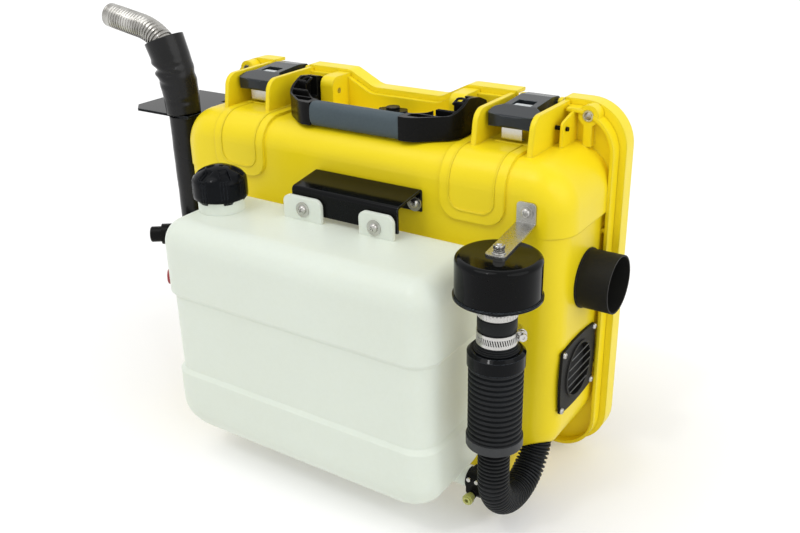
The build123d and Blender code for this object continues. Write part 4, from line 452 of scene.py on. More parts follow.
def close_rule(tree, geometry, out, result):
    """Ends a tree in real mesh with its material, and gives it back."""
    real = get(tree, "GeometryNodeRealizeInstances", {0: geometry})
    material = out["Material"]
    dressed = get(tree, "GeometryNodeSetMaterial", {"Geometry": real, "Material": material})
    tree.links.new(dressed, result.inputs[0])
    return tree


def grow(name, start, tree, look, lengths, **values):
    """Runs a tree on a starting mesh, or on nothing, and gives back a plain mesh object.

    Lengths are in millimetres, and the other values go in as they are.
    """
    for label, size in lengths.items():
        values[label] = tuple(v * MM for v in size) if isinstance(size, tuple) else size * MM
    values = {label.replace("_", " "): value for label, value in values.items()}
    values["Material"] = finishes[look]
    if start is None:
        start = bpy.data.meshes.new("nothing")
    holder = bpy.data.objects.new(name + "_start", start)
    scene.collection.objects.link(holder)
    modifier = holder.modifiers.new("rule", "NODES")
    modifier.node_group = tree
    for item in tree.interface.items_tree:
        if item.in_out == "INPUT" and item.name in values:
            modifier[item.identifier] = values[item.name]
    bpy.context.view_layer.update()
    seen = bpy.context.evaluated_depsgraph_get()
    mesh = bpy.data.meshes.new_from_object(holder.evaluated_get(seen), depsgraph=seen)
    bpy.data.objects.remove(holder)
    mesh.name = name
    tidy(mesh)
    return new_piece(name, mesh)


def line_mesh(name, points):
    """A mesh of one line through points in millimetres."""
    mesh = bpy.data.meshes.new(name)
    edges = [(i, i + 1) for i in range(len(points) - 1)]
    mesh.from_pydata([Vector(p) * MM for p in points], edges, [])
    return mesh


def stepped(tree, line, step):
    """A curve through a line of edges, with points at one distance."""
    curve = get(tree, "GeometryNodeMeshToCurve", {0: line})
    return get(tree, "GeometryNodeResampleCurve", {"Curve": curve, "Length": step}, mode="LENGTH")


def tube_along(tree, curve, radius, sides, capped):
    """A round tube of a changing radius along a curve."""
    circle = get(tree, "GeometryNodeCurvePrimitiveCircle", {"Resolution": sides, "Radius": 1.0})
    sized = get(tree, "GeometryNodeSetCurveRadius", {"Curve": curve, "Radius": radius})
    tube = put(tree, "GeometryNodeCurveToMesh", {
        "Curve": sized, "Profile Curve": circle, "Fill Caps": capped})
    if "Scale" in tube.inputs:
        tree.links.new(radius, tube.inputs["Scale"])
    return tube.outputs[0]


def make_ribbed_tube():
    """A tube along a line whose radius goes over ribs and grooves of one pitch."""
    tree, out, result = rule("ribbed_tube", [
        ("Pitch", "f", 0.005), ("Crest", "f", 0.0155), ("Groove", "f", 0.0136),
        ("Groove Share", "f", 0.35), ("Slope Share", "f", 0.2), ("Plain Start", "f", 0.0),
        ("Plain End", "f", 0.0), ("Plain Radius", "f", 0.0136), ("Sides", "i", 40),
        ("Steps", "i", 8), ("Material", "m")])
    curve = stepped(tree, out["Geometry"], calc(tree, "DIVIDE", out["Pitch"], out["Steps"]))
    along = put(tree, "GeometryNodeSplineParameter").outputs["Length"]
    total = put(tree, "GeometryNodeSplineLength").outputs["Length"]
    past = calc(tree, "SUBTRACT", along, out["Plain Start"])
    phase = calc(tree, "FRACT", calc(tree, "DIVIDE", past, out["Pitch"]))
    rise_end = calc(tree, "ADD", out["Groove Share"], out["Slope Share"])
    rise = remap(tree, phase, out["Groove Share"], rise_end, interpolation_type="SMOOTHSTEP")
    fall_start = calc(tree, "SUBTRACT", 1.0, out["Slope Share"])
    fall = remap(tree, phase, fall_start, 1.0, 1.0, 0.0, interpolation_type="SMOOTHSTEP")
    rib = calc(tree, "MULTIPLY", rise, fall)
    after = calc(tree, "GREATER_THAN", past, 0.0)
    before = calc(tree, "LESS_THAN", along, calc(tree, "SUBTRACT", total, out["Plain End"]))
    height = calc(tree, "SUBTRACT", out["Crest"], out["Groove"])
    ribbed_radius = calc(tree, "MULTIPLY_ADD", rib, height, out["Groove"])
    between = calc(tree, "MULTIPLY", after, before)
    radius = blend(tree, between, out["Plain Radius"], ribbed_radius)
    tube = tube_along(tree, curve, radius, out["Sides"], True)
    smooth = get(tree, "GeometryNodeSetShadeSmooth", {0: tube})
    return close_rule(tree, smooth, out, result)


def make_wrapped_sleeve():
    """A loose wrapped sleeve along a line: a widening tube with soft folds and open ends."""
    tree, out, result = rule("wrapped_sleeve", [
        ("Bottom Radius", "f", 0.02), ("Top Radius", "f", 0.02), ("Fold Depth", "f", 0.0012),
        ("Fold Scale", "f", 60.0), ("Seed", "f", 3.0), ("Sides", "i", 96), ("Step", "f", 0.0015),
        ("Material", "m")])
    curve = stepped(tree, out["Geometry"], out["Step"])
    share = put(tree, "GeometryNodeSplineParameter").outputs["Factor"]
    radius = remap(tree, share, 0.0, 1.0, out["Bottom Radius"], out["Top Radius"])
    tube = tube_along(tree, curve, radius, out["Sides"], False)
    place, squeeze = get(tree, "GeometryNodeInputPosition"), (0.45, 0.45, 1.6)
    squeezed = get(tree, "ShaderNodeVectorMath", {0: place, 1: squeeze}, operation="MULTIPLY")
    folds = put(tree, "ShaderNodeTexNoise", {
        "Vector": squeezed, "W": out["Seed"], "Scale": out["Fold Scale"], "Detail": 3.0,
        "Distortion": 0.6}, noise_dimensions="4D").outputs["Fac"]
    wave = calc(tree, "SUBTRACT", calc(tree, "MULTIPLY", folds, 2.0), 1.0)
    depth = calc(tree, "MULTIPLY", wave, out["Fold Depth"])
    outwards = get(tree, "GeometryNodeInputNormal")
    shift = get(tree, "ShaderNodeVectorMath", {0: outwards, "Scale": depth}, operation="SCALE")
    folded = get(tree, "GeometryNodeSetPosition", {"Geometry": tube, "Offset": shift})
    smooth = get(tree, "GeometryNodeSetShadeSmooth", {0: folded})
    return close_rule(tree, smooth, out, result)


def arc(centre, radius, start, sweep, steps):
    """Points of an arc in a plane, angles in degrees."""
    return [
        (centre[0] + radius * cos(radians(start + sweep * i / steps)),
         centre[1] + radius * sin(radians(start + sweep * i / steps)))
        for i in range(steps + 1)
    ]


def skin(name, points, count, shut=(), move=None):
    """A mesh over rows of count points, moved by a matrix if one is given.

    The rows named in shut get an end face. With none, the last row is joined to the first.
    """
    rows = len(points) // count
    faces = []
    for i in range(rows - 1 if shut else rows):
        j = (i + 1) % rows
        for k in range(count):
            n = (k + 1) % count
            faces.append((i * count + k, i * count + n, j * count + n, j * count + k))
    faces += [tuple(range(row % rows * count, (row % rows + 1) * count)) for row in shut]
    mesh = bpy.data.meshes.new(name)
    mesh.from_pydata(points, [], faces)
    if move is not None:
        mesh.transform(move)
    tidy(mesh)
    return mesh


FIRST, LAST = 0, -1


def turned(name, outline, place, sides=72, facing=(0, 0, 1), flats=0):
    """A turned skin from an outline of (radius, height) along facing.

    Flats, if given, is the half width of a hexagon that is cut on it.
    """
    points = []
    for radius, height in outline:
        for k in range(sides):
            a = 2 * pi * k / sides
            r = min(radius, flats / cos((a + pi / 6) % (pi / 3) - pi / 6)) if flats else radius
            points.append((r * cos(a), r * sin(a), height))
    turn = Vector(facing).to_track_quat("Z", "Y").to_matrix().to_4x4()
    return skin(name, points, sides, move=Matrix.Scale(MM, 4) @ Matrix.Translation(place) @ turn)


def swept(name, frames, section, shut=()):
    """A section of (u, v) carried along frames of (origin, u direction, v direction)."""
    points = [
        (Vector(origin) + Vector(u) * su + Vector(v) * sv) * MM
        for origin, u, v in frames for su, sv in section
    ]
    return skin(name, points, len(section), shut)


def gather(name, pieces):
    """Joins pieces into one, each face keeping its material."""
    bm, materials = bmesh.new(), []
    for piece in pieces:
        places = []
        for material in piece.data.materials:
            if material not in materials:
                materials.append(material)
            places.append(materials.index(material))
        first = len(bm.faces)
        bm.from_mesh(piece.data)
        bm.faces.ensure_lookup_table()
        for face in bm.faces[first:]:
            face.material_index = places[face.material_index]
        bpy.data.objects.remove(piece)
    mesh = bpy.data.meshes.new(name)
    bm.to_mesh(mesh)
    bm.free()
    soften(mesh)
    return new_piece(name, mesh, *materials)


def soften(mesh, angle=38):
    """Smooth shading with sharp edges where faces meet steeply."""
    mesh.polygons.foreach_set("use_smooth", [True] * len(mesh.polygons))
    mesh.set_sharp_from_angle(angle=radians(angle))


def thicken(piece, thickness):
    """Gives an open skin a wall inwards."""
    tidy(piece.data)
    with edited(piece.data) as bm:
        bmesh.ops.solidify(bm, geom=bm.faces[:], thickness=thickness)
    piece.data.polygons.foreach_set("use_smooth", [True] * len(piece.data.polygons))


def make_cross_screws():
    """Domed cross-slot screws on washers, one at each point, facing as the point says."""
    tree, out, result = rule("cross_screws", [
        ("Head Radius", "f", 0.0045), ("Head Height", "f", 0.003), ("Slot Width", "f", 0.0011),
        ("Slot Depth", "f", 0.0014), ("Seed", "i", 5), ("Material", "m")])
    ball = get(tree, "GeometryNodeMeshUVSphere", {"Segments": 28, "Rings": 14, "Radius": 1.0})
    here = get(tree, "GeometryNodeInputPosition")
    spot = put(tree, "ShaderNodeSeparateXYZ", {0: here}).outputs
    rise = calc(tree, "POWER", calc(tree, "MAXIMUM", spot["Z"], 0.0), 0.65)
    shaped = vector(
        tree,
        calc(tree, "MULTIPLY", spot["X"], out["Head Radius"]),
        calc(tree, "MULTIPLY", spot["Y"], out["Head Radius"]),
        calc(tree, "MULTIPLY", rise, out["Head Height"]))
    dome = get(tree, "GeometryNodeSetPosition", {"Geometry": ball, "Position": shaped})
    head = put(tree, "GeometryNodeMeshBoolean", {"Mesh 1": dome},
               operation="DIFFERENCE", solver="EXACT")
    width = out["Slot Width"]
    length = calc(tree, "MULTIPLY", out["Head Radius"], 1.15)
    height = calc(tree, "MULTIPLY", out["Slot Depth"], 2.0)
    top = vector(tree, z=out["Head Height"])
    for x, y in ((length, width), (width, length)):
        block = get(tree, "GeometryNodeMeshCube", {"Size": vector(tree, x, y, height)})
        cutter = get(tree, "GeometryNodeTransform", {"Geometry": block, "Translation": top})
        tree.links.new(cutter, head.inputs["Mesh 2"])
    facing, washer = (
        get(tree, "GeometryNodeInputNamedAttribute", {"Name": name}, data_type="FLOAT_VECTOR")
        for name in ("facing", "washer"))
    turn = get(tree, "FunctionNodeAlignRotationToVector", {"Vector": facing}, axis="Z")
    chance = put(tree, "FunctionNodeRandomValue", {3: pi, "Seed": out["Seed"]}, data_type="FLOAT")
    spin = get(tree, "FunctionNodeAxisAngleToRotation", {
        "Axis": (0, 0, 1), "Angle": chance.outputs[1]})
    spun = get(tree, "FunctionNodeRotateRotation", {0: turn, 1: spin}, rotation_space="LOCAL")
    heads = get(tree, "GeometryNodeInstanceOnPoints", {
        "Points": out["Geometry"], "Instance": head.outputs[0], "Rotation": spun})
    thickness = put(tree, "ShaderNodeSeparateXYZ", {0: washer}).outputs["Z"]
    raised = get(tree, "GeometryNodeTranslateInstances", {
        "Instances": heads, "Translation": vector(tree, z=thickness), "Local Space": True})
    disc = get(tree, "GeometryNodeMeshCylinder", {"Vertices": 40, "Radius": 1.0, "Depth": 1.0})
    disc = get(tree, "GeometryNodeTransform", {"Geometry": disc, "Translation": (0, 0, 0.5)})
    discs = get(tree, "GeometryNodeInstanceOnPoints", {
        "Points": out["Geometry"], "Instance": disc, "Rotation": turn, "Scale": washer})
    both = put(tree, "GeometryNodeJoinGeometry")
    for half in (raised, discs):
        tree.links.new(half, both.inputs[0])
    return close_rule(tree, both.outputs[0], out, result)


def make_bar_ring():
    """Equal bars round a ring that faces along an axis, each leaning by the slant."""
    tree, out, result = rule("bar_ring", [
        ("Count", "i", 24), ("Radius", "f", 0.02), ("Bar", "v", (0.001, 0.001, 0.004)),
        ("Slant", "f", 0.0), ("Centre", "v", (0, 0, 0)), ("Facing", "v", (0, 0, 1)),
        ("Material", "m")])
    ring = get(tree, "GeometryNodeMeshCircle", {
        "Vertices": out["Count"], "Radius": out["Radius"]})
    block = get(tree, "GeometryNodeMeshCube", {"Size": out["Bar"]})
    index = get(tree, "GeometryNodeInputIndex")
    angle = calc(tree, "DIVIDE", calc(tree, "MULTIPLY", index, 2 * pi), out["Count"])
    around, lean = (
        get(tree, "FunctionNodeAxisAngleToRotation", {"Axis": axis, "Angle": value})
        for axis, value in (((0, 0, 1), angle), ((1, 0, 0), out["Slant"])))
    turn = get(tree, "FunctionNodeRotateRotation", {0: around, 1: lean}, rotation_space="LOCAL")
    bars = get(tree, "GeometryNodeInstanceOnPoints", {
        "Points": ring, "Instance": block, "Rotation": turn})
    aim = get(tree, "FunctionNodeAlignRotationToVector", {"Vector": out["Facing"]}, axis="Z")
    real = get(tree, "GeometryNodeRealizeInstances", {0: bars})
    placed = get(tree, "GeometryNodeTransform", {
        "Geometry": real, "Translation": out["Centre"], "Rotation": aim})
    return close_rule(tree, placed, out, result)


def make_louvre():
    """Thin level bars over a round opening in the side wall, as long as the opening is wide."""
    tree, out, result = rule("louvre", [
        ("Opening Radius", "f", 0.028), ("Count", "i", 5), ("Pitch", "f", 0.009),
        ("Bar Depth", "f", 0.001), ("Bar Height", "f", 0.001), ("Centre", "v", (0, 0, 0)),
        ("Material", "m")])
    span = calc(tree, "MULTIPLY", calc(tree, "SUBTRACT", out["Count"], 1.0), out["Pitch"])
    levels = get(tree, "GeometryNodeMeshLine", {
        "Count": out["Count"], "Start Location": vector(tree, z=calc(tree, "MULTIPLY", span, -0.5)),
        "Offset": vector(tree, z=out["Pitch"])})
    here = get(tree, "GeometryNodeInputPosition")
    height = put(tree, "ShaderNodeSeparateXYZ", {0: here}).outputs["Z"]
    reach, rise = (calc(tree, "MULTIPLY", v, v) for v in (out["Opening Radius"], height))
    half = calc(tree, "SQRT", calc(tree, "SUBTRACT", reach, rise))
    size = vector(tree, out["Bar Depth"], calc(tree, "MULTIPLY", half, 2.0), out["Bar Height"])
    block = get(tree, "GeometryNodeMeshCube", {"Size": (1, 1, 1)})
    bars = get(tree, "GeometryNodeInstanceOnPoints", {
        "Points": levels, "Instance": block, "Scale": size})
    real = get(tree, "GeometryNodeRealizeInstances", {0: bars})
    placed = get(tree, "GeometryNodeTransform", {"Geometry": real, "Translation": out["Centre"]})
    return close_rule(tree, placed, out, result)


ribbed, wrapped, cross_screws = make_ribbed_tube(), make_wrapped_sleeve(), make_cross_screws()
bar_ring, louvre = make_bar_ring(), make_louvre()


def studs(name, places):
    """Points for screws: place, facing and the washer's size under each, in millimetres."""
    mesh = bpy.data.meshes.new(name)
    mesh.from_pydata([Vector(place) * MM for place, facing, washer in places], [], [])
    facings = mesh.attributes.new("facing", "FLOAT_VECTOR", "POINT")
    washers = mesh.attributes.new("washer", "FLOAT_VECTOR", "POINT")
    for i, (place, facing, washer) in enumerate(places):
        facings.data[i].vector = facing
        washers.data[i].vector = Vector(washer) * MM
    return mesh


def make_intake_line():
    """Silencer body and the ribbed hose that turns up into the case."""
    x, y = INTAKE
    bend, bend_z = 49.0, 79.5
    turn = [(x, y + bend + v[0], bend_z + v[1]) for v in arc((0, 0), bend, 180, 180, 60)]
    path = [(x, y, 118.0)] + turn + [(x, y + 2 * bend, 108.0)]
    hose = grow("intake_hose_ribbed", line_mesh("hose_line", path), ribbed, "black_rubber", dict(
        Pitch=4.25, Crest=15.5, Groove=12.9, Plain_Start=3, Plain_End=3, Plain_Radius=13.3),
        Groove_Share=0.20, Slope_Share=0.26, Sides=56, Steps=12)
    settle(hose, "base", "black_rubber", "intake_hose")
    path = [(x, y, 129.0), (x, y, 205.5)]
    body = grow("silencer_ribbed_body", line_mesh("body_line", path), ribbed, "black_rubber", dict(
        Pitch=5.4, Crest=25.6, Groove=22.7, Plain_Start=0.4, Plain_End=0.4, Plain_Radius=23.2),
        Groove_Share=0.20, Slope_Share=0.24, Sides=72, Steps=12)
    settle(body, "base", "black_rubber", "silencer_body")


def make_exhaust_line():
    """Corrugated steel pipe with a rolled end, and its two black sleeves."""
    x, y = EXHAUST
    bend, bend_z, sweep, straight, lip = 66, 382, 80, 52, 1.3
    path = [(x, y, 150.0)]
    path += [(x - bend + v[0], y, bend_z + v[1]) for v in arc((0, 0), bend, 0, sweep, 40)]
    ahead = Vector((-sin(radians(sweep)), 0, cos(radians(sweep))))
    end = Vector(path[-1]) + ahead * straight
    path.append(tuple(end))
    pipe = grow("pipe_tube", line_mesh("pipe_line", path), ribbed, "pipe_steel", dict(
        Pitch=4.1, Crest=14.3, Groove=12.5, Plain_Start=0, Plain_End=9, Plain_Radius=14.1),
        Groove_Share=0.18, Slope_Share=0.28, Sides=48, Steps=8)
    open_end(pipe)
    thicken(pipe, 1.1 * MM)
    circle = [(12.9 + lip * cos(radians(a)), lip * sin(radians(a))) for a in range(0, 360, 30)]
    bead = turned("pipe_bead", circle, end - ahead * lip, 64, ahead)
    bead = new_piece("pipe_bead", bead, finishes["pipe_steel"])
    pipe = gather("exhaust_pipe_corrugated", [pipe, bead])
    settle(pipe, "base", "stainless", "exhaust_pipe")
    path = [(x, y, 176.0), (x, y, 346.8)]
    low = grow("exhaust_sleeve_low_wrapped", line_mesh("low_line", path), wrapped, "sleeve", dict(
        Bottom_Radius=16.6, Top_Radius=17.6, Fold_Depth=0.9, Step=1.8),
        Fold_Scale=26.0, Seed=3.0, Sides=88)
    thicken(low, 1.2 * MM)
    settle(low, "base", "sleeve_fabric", "exhaust_sleeve_low")
    path = [
        (x, y, 350.3), (x - 1, y, 372.0), (x - 4, y, 392.0), (x - 11, y, 414.0),
        (x - 19.3, y, 434.8)]
    up = grow("exhaust_sleeve_up_wrapped", line_mesh("up_line", path), wrapped, "sleeve", dict(
        Bottom_Radius=20.3, Top_Radius=23.5, Fold_Depth=0.3, Step=1.4),
        Fold_Scale=14.0, Seed=8.0, Sides=112)
    for heading, height, across, along, depth in sleeve_dents:
        dent(up, (x - 4, y), heading, height, across, along, depth)
    thicken(up, 1.4 * MM)
    line_with_foil(up, (x - 6, y))
    settle(up, "base", "sleeve_fabric", "exhaust_sleeve_up")


# Heading in degrees, height, half sizes across and along, depth
sleeve_dents = [
    (-148, 402, 15, 3.2, 3.4), (-165, 391, 14, 3.0, 2.4), (-78, 399, 12, 2.6, 1.5),
    (-96, 386, 12, 2.6, 1.3), (-60, 408, 9, 2.2, 0.9), (-40, 366, 14, 2.4, 0.8),
    (80, 396, 18, 4.0, 1.6), (120, 372, 18, 4.0, 1.4),
]


def dent(piece, axis, heading, height, across, along, depth):
    """Presses a soft crease into a sleeve's skin, and raises its lips a little."""
    for vertex in piece.data.vertices:
        place = vertex.co / MM
        outwards = Vector((place.x - axis[0], place.y - axis[1], 0))
        radius = outwards.length
        outwards.normalize()
        lead = cos(radians(heading)) * outwards.x + sin(radians(heading)) * outwards.y
        side = acos(max(-1.0, min(1.0, lead))) * radius / across
        rise = (place.z - height) / along
        if side > 3 or abs(rise) > 5:
            continue
        press = exp(-side * side - rise * rise) - 0.45 * exp(-side * side - (abs(rise) - 1.9) ** 2)
        vertex.co -= outwards * press * depth * MM


def line_with_foil(piece, axis):
    """Gives the inside of a sleeve and its rim the silver lining."""
    rim_z = 422.5 * MM
    piece.data.materials.append(finishes["foil"])
    for face in piece.data.polygons:
        out = Vector((face.center.x - axis[0] * MM, face.center.y - axis[1] * MM, 0)).normalized()
        inside = face.normal.dot(out) < -0.3
        if inside or (face.center.z > rim_z and face.normal.z > 0.6):
            face.material_index = 1


def open_end(piece):
    """Takes the two cap faces off a tube."""
    with edited(piece.data) as bm:
        caps = [f for f in bm.faces if len(f.verts) > 12]
        bmesh.ops.delete(bm, geom=caps, context="FACES_ONLY")


def make_grip():
    """Soft grip round the handle bar: a squarish section, a little smaller at both ends."""
    low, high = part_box("handle_grip")
    centre = (low + high) / 2
    half = (high - low) / 2 + Vector((0, 0.0006, 0.0006))
    rows, sides, squareness = 96, 48, 0.62
    points = []
    for i in range(rows + 1):
        along = -1 + 2 * i / rows
        end = max(0.0, (abs(along) - 0.965) / 0.035)
        shrink = 1 - 0.10 * end * end
        for k in range(sides):
            a = 2 * pi * k / sides
            y, z = (
                size * (abs(v) ** squareness) * (1 if v > 0 else -1) * shrink
                for size, v in ((half.y, cos(a)), (half.z, sin(a)))
            )
            points.append((centre.x + half.x * along, centre.y + y, centre.z + z))
    mesh = skin("handle_grip_soft", points, sides, (FIRST, LAST))
    soften(mesh)
    add("handle_grip_soft", mesh, "grip", "handle", "grip_rubber", "handle_grip")


def make_screws():
    """All the cross-slot screws on the outside, with their washers."""
    front, left, right = (0, -1, 0), (-1, 0, 0), (1, 0, 0)
    places = [((x, -116.5, 311), front, (8.0, 8.0, 1.4)) for x in (-30, 84)]
    places += [((x, -165, z), front, (8.0, 8.0, 1.2)) for x, z in ((-20, 300), (68, 298))]
    places += [((205.7, -116, 324), front, (7.0, 7.0, 1.2))]
    places += [((-247.5, y, 336), left, (5.2, 5.2, 0.4)) for y in (-49, -30)]
    buttons = dict(Head_Radius=4.6, Head_Height=3.0, Slot_Width=1.2, Slot_Depth=1.5)
    y, z = VENT
    corners = [(y + i * 37, z + j * 32) for i in (-1, 1) for j in (-1, 1)]
    vent_places = [((243, *corner), right, (3.4, 3.4, 0.3)) for corner in corners]
    small = dict(Head_Radius=3.3, Head_Height=2.2, Slot_Width=0.9, Slot_Depth=1.1)
    for name, spots, sizes, seed in (
        ("button_screws", places, buttons, 4), ("vent_screws", vent_places, small, 9),
    ):
        screws = grow(name + "_cross", studs(name + "_places", spots), cross_screws, "bright_screw",
                      sizes, Seed=seed)
        soften(screws.data)
        settle(screws, "base", "steel_pins", name)


def make_vent_bars():
    """Bars with painted highlight on the front edges of the vent's slats, and a dark disc behind
    the slats as painted shade.
    """
    # The bars' lighter tone is a painted highlight on the slats' front edges
    bars = grow("vent_bar_highlights", None, louvre, "bar_edge_highlight", dict(
        Opening_Radius=27.8, Pitch=9.3333, Bar_Depth=0.9, Bar_Height=1.0, Centre=(244.3, *VENT)),
        Count=5)
    settle(bars, "base", "black_plastic")
    # The dark disc is painted shade: it stands where the inside of the vent is only in shade
    outline = [(0, -0.4), (30.4, -0.4), (30.4, 0.4), (0, 0.4)]
    shade_disc = turned("vent_painted_shade_disc", outline, (236.6, *VENT), 64, (1, 0, 0))
    add("vent_painted_shade_disc", shade_disc, "seal", "base", "black_plastic")


def make_can_bolt():
    """Washer, split spring washer, nut and threaded end on the filter can."""
    foot = 314.0
    outline = [(3.1, 0), (6.2, 0), (6.4, 0.2), (6.4, 1.0), (6.2, 1.2), (3.1, 1.2)]
    washer = turned("washer", outline, (*INTAKE, foot))
    steps, gap_end, turn_step, rise = 40, 200, 8.6, 0.9
    ring = []
    for i in range(steps + 1):
        a = radians(gap_end + turn_step * i)
        ring.append(((*INTAKE, foot + 1.25 + rise * i / steps), (cos(a), sin(a), 0), (0, 0, 1)))
    section = [(3.2, 0), (5.3, 0), (5.3, 1.3), (3.2, 1.3)]
    spring = swept("spring", ring, section, (FIRST, LAST))
    outline = [(3.0, 0), (4.6, 0), (5.4, 0.5), (5.4, 3.7), (4.6, 4.2), (3.0, 4.2)]
    nut = turned("nut", outline, (*INTAKE, foot + 3.3), flats=4.6)
    outline = [(0.01, 0)]
    for i in range(8):
        outline += [(2.95, 0.6 * i), (2.95, 0.6 * i + 0.15), (2.55, 0.6 * i + 0.35)]
    outline += [(2.7, 4.9), (1.9, 5.6), (0.01, 5.8)]
    stud = turned("stud", outline, (*INTAKE, foot + 3.0), 36)
    meshes = (washer, spring, nut, stud)
    parts = [new_piece("part", mesh, finishes["bright_screw"]) for mesh in meshes]
    settle(gather("can_bolt_and_nut", parts), "base", "steel_pins", "can_bolt")


def make_worm_clamp():
    """Slotted clamp band with its screw housing."""
    low, high, rail = 228.0, 240.0, 3.1
    inner, outer = 17.6, 18.75
    middle_z = (low + high) / 2
    meshes = [
        turned("rail", [(inner, z), (outer, z), (outer, z + rail), (inner, z + rail)], (*INTAKE, 0))
        for z in (low, high - rail)
    ]
    bars = grow("bars", None, bar_ring, "stainless", dict(
        Radius=18.15, Bar=(1.1, 1.15, 7.4), Centre=(*INTAKE, middle_z)),
        Count=52, Slant=radians(14))
    ahead = Vector((1, -1, 0)).normalized()
    middle = Vector((INTAKE[0] + 14.6, INTAKE[1] + 14.6, middle_z))
    outline = [(0.01, -6), (5.4, -6), (5.9, -5.4), (5.9, 5.4), (5.4, 6), (0.01, 6)]
    meshes.append(turned("housing", outline, middle, 40, ahead))
    saddle = turned("saddle", [(inner, -5), (20.4, -5), (20.4, 5), (inner, 5)], (*INTAKE, middle_z))
    meshes.append(keep_near(saddle, middle * MM, 9.5 * MM))
    outline = [(0.01, 0), (5.0, 0), (5.0, 1.2), (0.01, 1.2)]
    meshes.append(turned("flange", outline, middle + ahead * 7, 40, ahead))
    outline = [(0.01, 0), (4.3, 0), (4.3, 3.6), (3.7, 4.2), (1.5, 4.2), (1.5, 3.2), (0.01, 3.2)]
    meshes.append(turned("head", outline, middle + ahead * 8.2, 48, ahead, flats=3.6))
    parts = [new_piece("part", mesh, finishes["stainless"]) for mesh in meshes]
    parts.insert(2, bars)
    settle(gather("worm_clamp_slotted", parts), "base", "stainless", "hose_clamp")


def keep_near(mesh, centre, reach):
    """Keeps the faces of a ring that are near a point, and closes the cut ends."""
    with edited(mesh) as bm:
        far = [f for f in bm.faces if (f.calc_center_median() - centre).length > reach]
        bmesh.ops.delete(bm, geom=far, context="FACES")
        bmesh.ops.holes_fill(bm, edges=[e for e in bm.edges if e.is_boundary], sides=8)
        bmesh.ops.recalc_face_normals(bm, faces=bm.faces)
    return mesh


def make_intake_neck():
    """Rubber neck with stacked lips below the clamp, and the toothed ring above it."""
    outline = [(13, 221)]
    for i, radius in enumerate((21.3, 20.3, 19.3, 18.6)):
        z, root = 221.0 + 1.8 * i, radius - 0.9
        outline += [(root, z), (radius, z + 0.4), (radius, z + 1.1), (root, z + 1.5)]
    outline += [
        (17.5, 228.6), (17.5, 241), (18.0, 241.8), (18.2, 243.2), (18.2, 252.4), (17.8, 253.4),
        (16.8, 254.0), (16.8, 264), (13, 264)]
    neck = turned("intake_neck_ringed", outline, (*INTAKE, 0))
    soften(neck)
    add("intake_neck_ringed", neck, "black_rubber", "base", "black_rubber", "intake_neck")
    outline = [
        (15.5, 254.4), (17.8, 254.4), (18.2, 254.8), (18.2, 260.6), (17.7, 261.2), (15.5, 261.2)]
    ring = turned("plain_ring", outline, (*INTAKE, 0))
    ring = new_piece("plain_ring", ring, finishes["stainless"])
    teeth = grow("teeth", None, bar_ring, "stainless", dict(
        Radius=18.1, Bar=(1.5, 1.5, 4.8), Centre=(*INTAKE, 257.8)), Count=34)
    settle(gather("serrated_ring", [ring, teeth]), "base", "stainless")


def make_tank_cap():
    """Filler cap: grooved side, shoulder and a domed crown with finger notches."""
    x, y = FILLER
    sides, side_grooves, grooved_share, notches = 288, 8, 0.42, 6
    dome_radius, dome_foot, dome_rise = 23.8, 328.2, 8.2
    outline = [(25.2, 302.0), (27.6, 302.0), (28.7, 303.0), (28.9, 307), (28.9, 313), (28.8, 318),
               (28.6, 320.8), (28.2, 322.4), (27.6, 323.6), (26.8, 324.8), (25.9, 326.0),
               (24.9, 327.1), (dome_radius, dome_foot)]
    for r in [dome_radius - 0.82 * i for i in range(1, 29)]:
        outline.append((r, dome_foot + dome_rise * (1 - (r / dome_radius) ** 2)))
    points = []
    for number, (radius, height) in enumerate(outline):
        for k in range(sides):
            a = 2 * pi * k / sides
            r, z = radius, height
            if 2 <= number <= 8:
                part = (a * side_grooves / (2 * pi)) % 1.0
                if part < grooved_share:
                    r -= 0.9 * max(0.0, sin(part / grooved_share * 3 * 2 * pi)) ** 0.7
            notch = abs((a * notches / (2 * pi)) % 1.0 - 0.5) * 2 * pi / notches * max(radius, 6.0)
            reach = eased(13.0, 14.6, radius) * (1 - eased(24.6, 26.4, radius))
            z -= 4.2 * (1 - eased(4.2, 5.6, notch)) * reach
            hole = sqrt((r * cos(a) - 4.6) ** 2 + (r * sin(a)) ** 2)
            z -= 1.6 * (1 - eased(1.6, 2.3, hole)) if radius < 12 else 0.0
            points.append(((x + r * cos(a)) * MM, (y + r * sin(a)) * MM, z * MM))
    mesh = skin("tank_cap_notched", points, sides, (LAST,))
    cap = new_piece("tank_cap_notched", mesh, finishes["black_cap"])
    thicken(cap, 1.6 * MM)
    soften(cap.data, 50)
    settle(cap, "cap", "black_plastic", "tank_cap")


def eased(low, high, value):
    """0 below low, 1 above high, and an easy slope between them."""
    share = min(1.0, max(0.0, (value - low) / (high - low)))
    return share * share * (3 - 2 * share)


